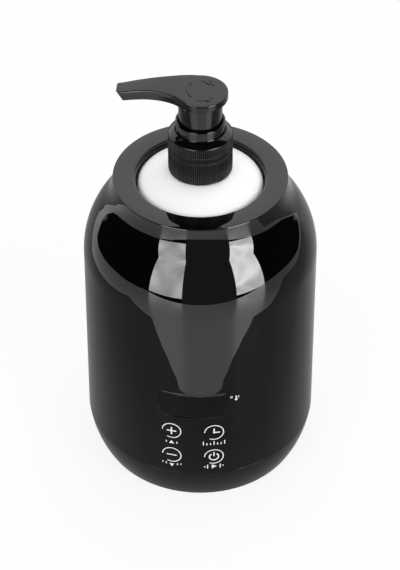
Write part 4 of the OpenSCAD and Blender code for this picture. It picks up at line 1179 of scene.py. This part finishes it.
def arrow_marks():
    """Flat pattern of a curved arrow with a point at each end"""
    x, r, width, ends = 0.6, 7.3, 0.5, (142, 222)
    point, half_w = 1.6, 0.95
    marks = [ribbon(arc((x, 0), r, *ends, 30), width)]
    for end, turn in zip(ends, (-1, 1)):
        c, s = math.cos(math.radians(end)), math.sin(math.radians(end))
        out, along = Vector((c, s)), Vector((-s, c))
        foot = Vector((x + r * c, r * s))
        marks.append(polygon([foot + along * turn * point, foot + out * half_w, foot - out * half_w]))
    return marks


def lock_marks(angle, shut):
    """Flat patterns of a padlock near the head's edge, with two dashes on each side of it"""
    r, bow_r, width = 8.2, 0.8, 0.5
    c, s = math.cos(math.radians(angle)), math.sin(math.radians(angle))
    out, along = Vector((c, s)), Vector((-s, c))

    def put(points):
        return [tuple(out * r + along * p[0] + out * p[1]) for p in points]

    shift = 0.0 if shut else 0.9
    bow = [(bow_r + shift, 0.2)] + arc((shift, 0.5), bow_r, 0, 180, 14) + ([(shift - bow_r, 0.2)] if shut else [])
    marks = [polygon(put([(-1.2, -1.2), (1.2, -1.2), (1.2, 0.4), (-1.2, 0.4)])), ribbon(put(bow), width)]
    for dash in (16, 25):
        for middle in (angle - dash, angle + dash):
            marks.append(ribbon(arc((0, 0), r, middle - 2.4, middle + 2.4, 4), 0.45))
    return marks


class WARMER_OT_marks(bpy.types.Operator):
    """Moulded marks on the head: which way it turns, and its two locks"""

    bl_idname = "warmer.marks"
    bl_label = "Head marks"

    def execute(self, context):
        height, sunk, half_w = context.scene.warmer_pump.mark_height / MM, 0.3, 12.0

        def place(x, y, up):
            z = HEAD_TOP + curve_through(NOZZLE_TOPS, -x) + HEAD_CROWN * (1 - min(1.0, (y / half_w) ** 2))
            return Vector((x, y, z + height if up else z - sunk))

        flats = arrow_marks() + lock_marks(62, True) + lock_marks(-68, False)
        solid = join(*[prism(flat, place) for flat in flats])
        piece("head_marks", solid, "head_polypropylene", "head", sharp=30)
        return {"FINISHED"}


# --- nodes that keep their own shape ------------------------------------------------------------

# Finish, slot and the nodes that have them
NODE_FINISHES = (
    ("silicone_rubber", "silicone", "cup_gasket"),
    ("heater_silicone", "heater_silicone", "heater_band"),
    ("insulation_felt", "felt", "insulation_sleeve"),
    ("nylon", "nylon", "cup_carrier"),
    ("component_epoxy", "component_black", "thermistor microcontroller power_transistor buzzer"),
    ("component_nylon", "component_white", "thermal_fuse display_module board_connectors"),
    ("board_lacquer", "board_green", "control_board"),
    ("spring_brass", "spring_brass", "touch_springs"),
    ("lead_red", "wire_red", "power_leads"),
    ("lead_white", "wire_white", "heater_leads"),
    ("lead_black", "wire_black", "sensor_leads"),
    ("zinc_steel", "steel", "jack_nut base_screws ring_screws carrier_screws board_screws check_ball"),
    ("natural_polypropylene", "natural_plastic", "neck_gasket pump_housing dip_tube piston stem"),
)


class WARMER_OT_works(bpy.types.Operator):
    """Finishes for the parts inside, which keep the shapes they have in the frame"""

    bl_idname = "warmer.works"
    bl_label = "Inner works"

    def execute(self, context):
        for finish, slot, nodes in NODE_FINISHES:
            for node in nodes.split():
                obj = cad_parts[node]
                obj.data.materials.clear()
                obj.data.materials.append(finish_of(finish))
        return {"FINISHED"}


# --- stage --------------------------------------------------------------------------------------

WHITE = (1, 1, 1, 1)
# What the gloss mirrors in front of the camera, x and y in millimetres: the white table and the dim zone on it
# round the object
TABLE_OUTLINE = [
    (-690, -590), (1000, -590), (1080, -200), (900, 50), (830, 200), (1000, 350), (10000, 8225), (-10000, 7040),
    (-1000, 580), (-610, 300), (-570, 200), (-640, 60), (-720, -100),
]
DIM_ZONE_OUTLINE = [
    (-292, -149), (-160, -153), (-110, -157), (-79, -157), (-52, -151), (-43, -145), (43, -145), (52, -151),
    (79, -157), (110, -155), (150, -142), (200, -118), (550, -118), (550, 80), (650, 150), (750, 270), (1000, 470),
    (10000, 8570), (-10000, 8500), (-606, 552), (-443, 357), (-340, 207), (-302, 150),
]
# Painted fall of the table's light at each side: from x to x in metres, and the share of the light at each
TABLE_FALLS = ((-0.42, -0.1, 0.72, 1.0), (0.1, 0.42, 1.0, 0.57))
# Lines (slope, start, end) over which the dim zone brightens towards the back, on its left and its right: painted
# light from behind
DIM_ZONE_RISES = ((1.25, -0.245, -0.11), (-0.69, -0.13, 0.05))
# Lamps: direction in degrees, distance and height in millimetres, side in metres and share of the strength
LAMPS = (
    ("lamp_left", -32, 1200, 900, 0.7, 1.0), ("lamp_right", 44, 1200, 900, 0.7, 1.15),
    ("lamp_top", 170, 500, 1500, 1.2, 1.6),
)


def from_front(turn, away, z):
    """Point at a distance from the axis, in a direction counted from the front towards +X"""
    return Vector((away * math.sin(turn), -away * math.cos(turn), z))


def aim(obj, location, target):
    """Puts a lamp or camera in its place and turns it towards its target"""
    obj.location = location
    obj.rotation_mode = "QUATERNION"
    obj.rotation_quaternion = (target - obj.location).to_track_quat("-Z", "Y")


def studio_card(name, corners, tree_of, turn):
    """Flat card of the studio that only reflections see, turned with the camera"""
    mesh = bpy.data.meshes.new(name)
    mesh.from_pydata([Vector(c) * MM for c in corners], [], [list(range(len(corners)))])
    material, tree = blank(name)
    tree_of(tree)
    mesh.materials.append(material)
    obj = placed(name, mesh)
    obj.visible_camera = obj.visible_diffuse = obj.visible_shadow = obj.visible_transmission = False
    obj.visible_volume_scatter = False
    obj.rotation_euler = (0, 0, turn)


def standing(turn_a, turn_b, away, z0, z1):
    """Corners of an upright card between two directions, in degrees from the front towards +X"""
    a, b = math.radians(turn_a), math.radians(turn_b)
    return [from_front(turn, away, z) for turn, z in ((a, z0), (b, z0), (b, z1), (a, z1))]


def glow(strength):
    """Shader of one even brightness"""

    def make(tree):
        light = add(tree, "ShaderNodeEmission", {"Color": WHITE, "Strength": strength})
        add(tree, "ShaderNodeOutputMaterial", {"Surface": light.outputs[0]})

    return make


def cloth_glow(strength):
    """Front of a soft box: its cloth hangs in loose folds, so its brightness drifts"""

    def make(tree):
        where = add(tree, "ShaderNodeTexCoord").outputs["Object"]
        folds = add(tree, "ShaderNodeTexNoise", {"Vector": where, "Scale": 1.3, "Detail": 1.0, "Distortion": 1.6})
        level = add(tree, "ShaderNodeMapRange", {
            "Value": folds.outputs["Fac"], **NOISE_SPAN, "To Min": strength * 0.6, "To Max": strength * 1.25,
        })
        light = add(tree, "ShaderNodeEmission", {"Color": WHITE, "Strength": level.outputs["Result"]})
        add(tree, "ShaderNodeOutputMaterial", {"Surface": light.outputs[0]})

    return make


def glaze(tree, level, share, roughness):
    """Even brightness with a glaze over it, which mirrors the room as the look grows flatter"""
    body = add(tree, "ShaderNodeEmission", {"Color": WHITE, "Strength": level})
    fresnel = add(tree, "ShaderNodeFresnel", {"IOR": 1.5})
    amount = add(tree, "ShaderNodeMath", {0: fresnel.outputs["Fac"], 1: share}, operation="MULTIPLY")
    mirror = add(tree, "ShaderNodeBsdfGlossy", {"Color": amount.outputs[0], "Roughness": roughness})
    both = add(tree, "ShaderNodeAddShader", {0: body.outputs[0], 1: mirror.outputs[0]})
    add(tree, "ShaderNodeOutputMaterial", {"Surface": both.outputs[0]})


def painted_table_light(tree):
    """White table top with painted light: its glow is brightest between the lamps, and it is glazed so that it
    carries a streak under each soft box
    """
    axes = add(tree, "ShaderNodeSeparateXYZ", {"Vector": add(tree, "ShaderNodeTexCoord").outputs["Object"]})
    left, right = [
        add(tree, "ShaderNodeMapRange", {
            "Value": axes.outputs["X"], "From Min": x0, "From Max": x1, "To Min": share0, "To Max": share1})
        for x0, x1, share0, share1 in TABLE_FALLS
    ]
    level = add(tree, "ShaderNodeMath", {0: left.outputs[0], 1: right.outputs[0]}, operation="MULTIPLY")
    glaze(tree, level.outputs[0], 1.0, 0.2)


def dim_zone_glow(tree):
    """Dim zone round where the object stands, with painted light from behind: it brightens towards the back on both
    sides
    """
    axes = add(tree, "ShaderNodeSeparateXYZ", {"Vector": add(tree, "ShaderNodeTexCoord").outputs["Object"]})
    x, y = axes.outputs["X"], axes.outputs["Y"]
    ramps = []
    for slope, start, end in DIM_ZONE_RISES:
        line = add(tree, "ShaderNodeMath", {0: x, 1: slope, 2: y}, operation="MULTIPLY_ADD").outputs[0]
        ramps.append(add(tree, "ShaderNodeMapRange", {"Value": line, "From Min": start, "From Max": end}))
    both = add(tree, "ShaderNodeMath", {0: ramps[0].outputs[0], 1: ramps[1].outputs[0]}, operation="MULTIPLY")
    rise = add(tree, "ShaderNodeMapRange", {
        "Value": x, "From Min": -0.05, "From Max": 0.05, "To Min": 0.12, "To Max": 0.28})
    dimmest = 0.215
    level = add(tree, "ShaderNodeMath", {
        0: both.outputs[0], 1: rise.outputs[0], 2: dimmest}, operation="MULTIPLY_ADD")
    glaze(tree, level.outputs[0], 0.1, 0.2)


class WARMER_OT_stage(bpy.types.Operator):
    """Pale floor, soft light, the studio that the gloss mirrors, and the camera"""

    bl_idname = "warmer.stage"
    bl_label = "Stage"

    def execute(self, context):
        stage = context.scene.warmer_stage
        self.floor()
        self.world(context, stage)
        self.lamps(stage.key)
        self.mirrored(stage.camera_turn)
        self.camera(context, stage)
        context.scene.view_settings.view_transform = "Standard"
        return {"FINISHED"}

    def floor(self):
        """White floor that keeps a soft shadow"""
        mesh = bpy.data.meshes.new("floor")
        half = 6.0
        corners = [(x * half, y * half, 0) for x, y in ((-1, -1), (1, -1), (1, 1), (-1, 1))]
        mesh.from_pydata(corners, [], [[0, 1, 2, 3]])
        material, tree = blank("floor_white")
        lit = add(tree, "ShaderNodeBsdfDiffuse", {"Color": linear("#f4f4f4")})
        plain = add(tree, "ShaderNodeEmission", {"Color": WHITE, "Strength": 1.0})
        seen = add(tree, "ShaderNodeLightPath").outputs["Is Camera Ray"]
        share = add(tree, "ShaderNodeMath", {0: seen, 1: 0.85}, operation="MULTIPLY")
        shader = add(tree, "ShaderNodeMixShader", {0: share.outputs[0], 1: lit.outputs[0], 2: plain.outputs[0]})
        add(tree, "ShaderNodeOutputMaterial", {"Surface": shader.outputs[0]})
        mesh.materials.append(material)
        floor = placed("floor", mesh)
        floor.visible_glossy = False

    def world(self, context, stage):
        """White to the camera, an even fill on the object, and to gloss a white room behind, a dark one in front"""
        world = bpy.data.worlds.new("studio")
        context.scene.world = world
        world.use_nodes = True
        tree = world.node_tree
        tree.nodes.clear()
        turn, height = stage.camera_turn, 0.51
        front, bright = 0.01, 1.38
        facing = add(tree, "ShaderNodeVectorMath", {
            0: add(tree, "ShaderNodeTexCoord").outputs["Generated"], 1: (-math.sin(turn), math.cos(turn), height),
        }, operation="DOT_PRODUCT")
        behind = add(tree, "ShaderNodeMapRange", {
            "Value": facing.outputs["Value"], "From Min": 0.5, "From Max": 0.58, "To Min": front, "To Max": bright})
        ray = add(tree, "ShaderNodeLightPath").outputs
        level = add(tree, "ShaderNodeMix", {
            "Factor": ray["Is Glossy Ray"], "A": stage.fill, "B": behind.outputs["Result"]}, data_type="FLOAT")
        shown = add(tree, "ShaderNodeMix", {
            "Factor": ray["Is Camera Ray"], "A": level.outputs[0], "B": 1.0}, data_type="FLOAT")
        back = add(tree, "ShaderNodeBackground", {"Color": WHITE, "Strength": shown.outputs[0]})
        add(tree, "ShaderNodeOutputWorld", {"Surface": back.outputs[0]})

    def lamps(self, watts):
        """Two soft lamps in front and one overhead; the gloss mirrors the cards instead of them"""
        target = Vector((0, 0, 0.1))
        for name, turn, away, z, side, share in LAMPS:
            lamp = bpy.data.lights.new(name, "AREA")
            lamp.shape, lamp.size, lamp.energy = "SQUARE", side, watts * share
            obj = placed(name, lamp)
            aim(obj, from_front(math.radians(turn), away, z) * MM, target)
            obj.visible_glossy = obj.visible_camera = False

    def mirrored(self, turn):
        """What the gloss shows: the table with its painted light, the dim zone round the object, two soft boxes,
        and the dim wall between them
        """
        away, foot, top, table_z, dim_zone_z = 1300, -40, 1150, 0.2, 0.4
        studio_card("table_mirrored", [(x, y, table_z) for x, y in TABLE_OUTLINE], painted_table_light, turn)
        studio_card("mat_mirrored", [(x, y, dim_zone_z) for x, y in DIM_ZONE_OUTLINE], dim_zone_glow, turn)
        studio_card("softbox_left", standing(-46, -16, away, foot, top), cloth_glow(8.2), turn)
        studio_card("softbox_right", standing(32, 59, away, foot, top), cloth_glow(12.5), turn)
        studio_card("wall_between", standing(-16, 32, away + 20, -400, top + 100), glow(0.15), turn)

    def camera(self, context, stage):
        """Camera of the photograph's view"""
        camera = bpy.data.cameras.new("camera")
        camera.lens, camera.sensor_width, camera.sensor_fit = stage.lens, 36.0, "AUTO"
        camera.clip_end = 100
        obj = placed("camera", camera)
        turn = stage.camera_turn
        step = Vector((math.cos(turn), math.sin(turn), 0)) * stage.camera_side
        aim(obj, step + from_front(turn, stage.camera_away, stage.camera_height),
            step + Vector((0, 0, stage.target_height)))
        context.scene.camera = obj


# --- panel, registration and run ----------------------------------------------------------------

PIECE_OPERATORS = (
    WARMER_OT_shell, WARMER_OT_base, WARMER_OT_ring, WARMER_OT_window, WARMER_OT_print, WARMER_OT_socket,
    WARMER_OT_feet, WARMER_OT_cup, WARMER_OT_bottle, WARMER_OT_closure, WARMER_OT_collar, WARMER_OT_spring,
    WARMER_OT_head, WARMER_OT_marks, WARMER_OT_works, WARMER_OT_stage,
)


class WARMER_PT_panel(bpy.types.Panel):
    """Sizes, colours and one button for each piece"""

    bl_idname = "WARMER_PT_panel"
    bl_label = "Massage oil warmer"
    bl_space_type = "VIEW_3D"
    bl_region_type = "UI"
    bl_category = "Warmer"

    def draw(self, context):
        for group in PROPS:
            box = self.layout.box()
            settings = getattr(context.scene, group)
            for name in settings.__annotations__:
                box.prop(settings, name)
        for operator in PIECE_OPERATORS:
            self.layout.operator(operator.bl_idname)


CLASSES = (*PROPS.values(), *PIECE_OPERATORS, WARMER_PT_panel)


def register():
    for cls in CLASSES:
        bpy.utils.register_class(cls)
    for name, group in PROPS.items():
        setattr(bpy.types.Scene, name, PointerProperty(type=group))


def unregister():
    for name in PROPS:
        delattr(bpy.types.Scene, name)
    for cls in reversed(CLASSES):
        bpy.utils.unregister_class(cls)


def main():
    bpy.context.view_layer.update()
    register()
    for operator in PIECE_OPERATORS:
        group, name = operator.bl_idname.split(".")
        getattr(getattr(bpy.ops, group), name)()


if __name__ == "__main__":
    main()
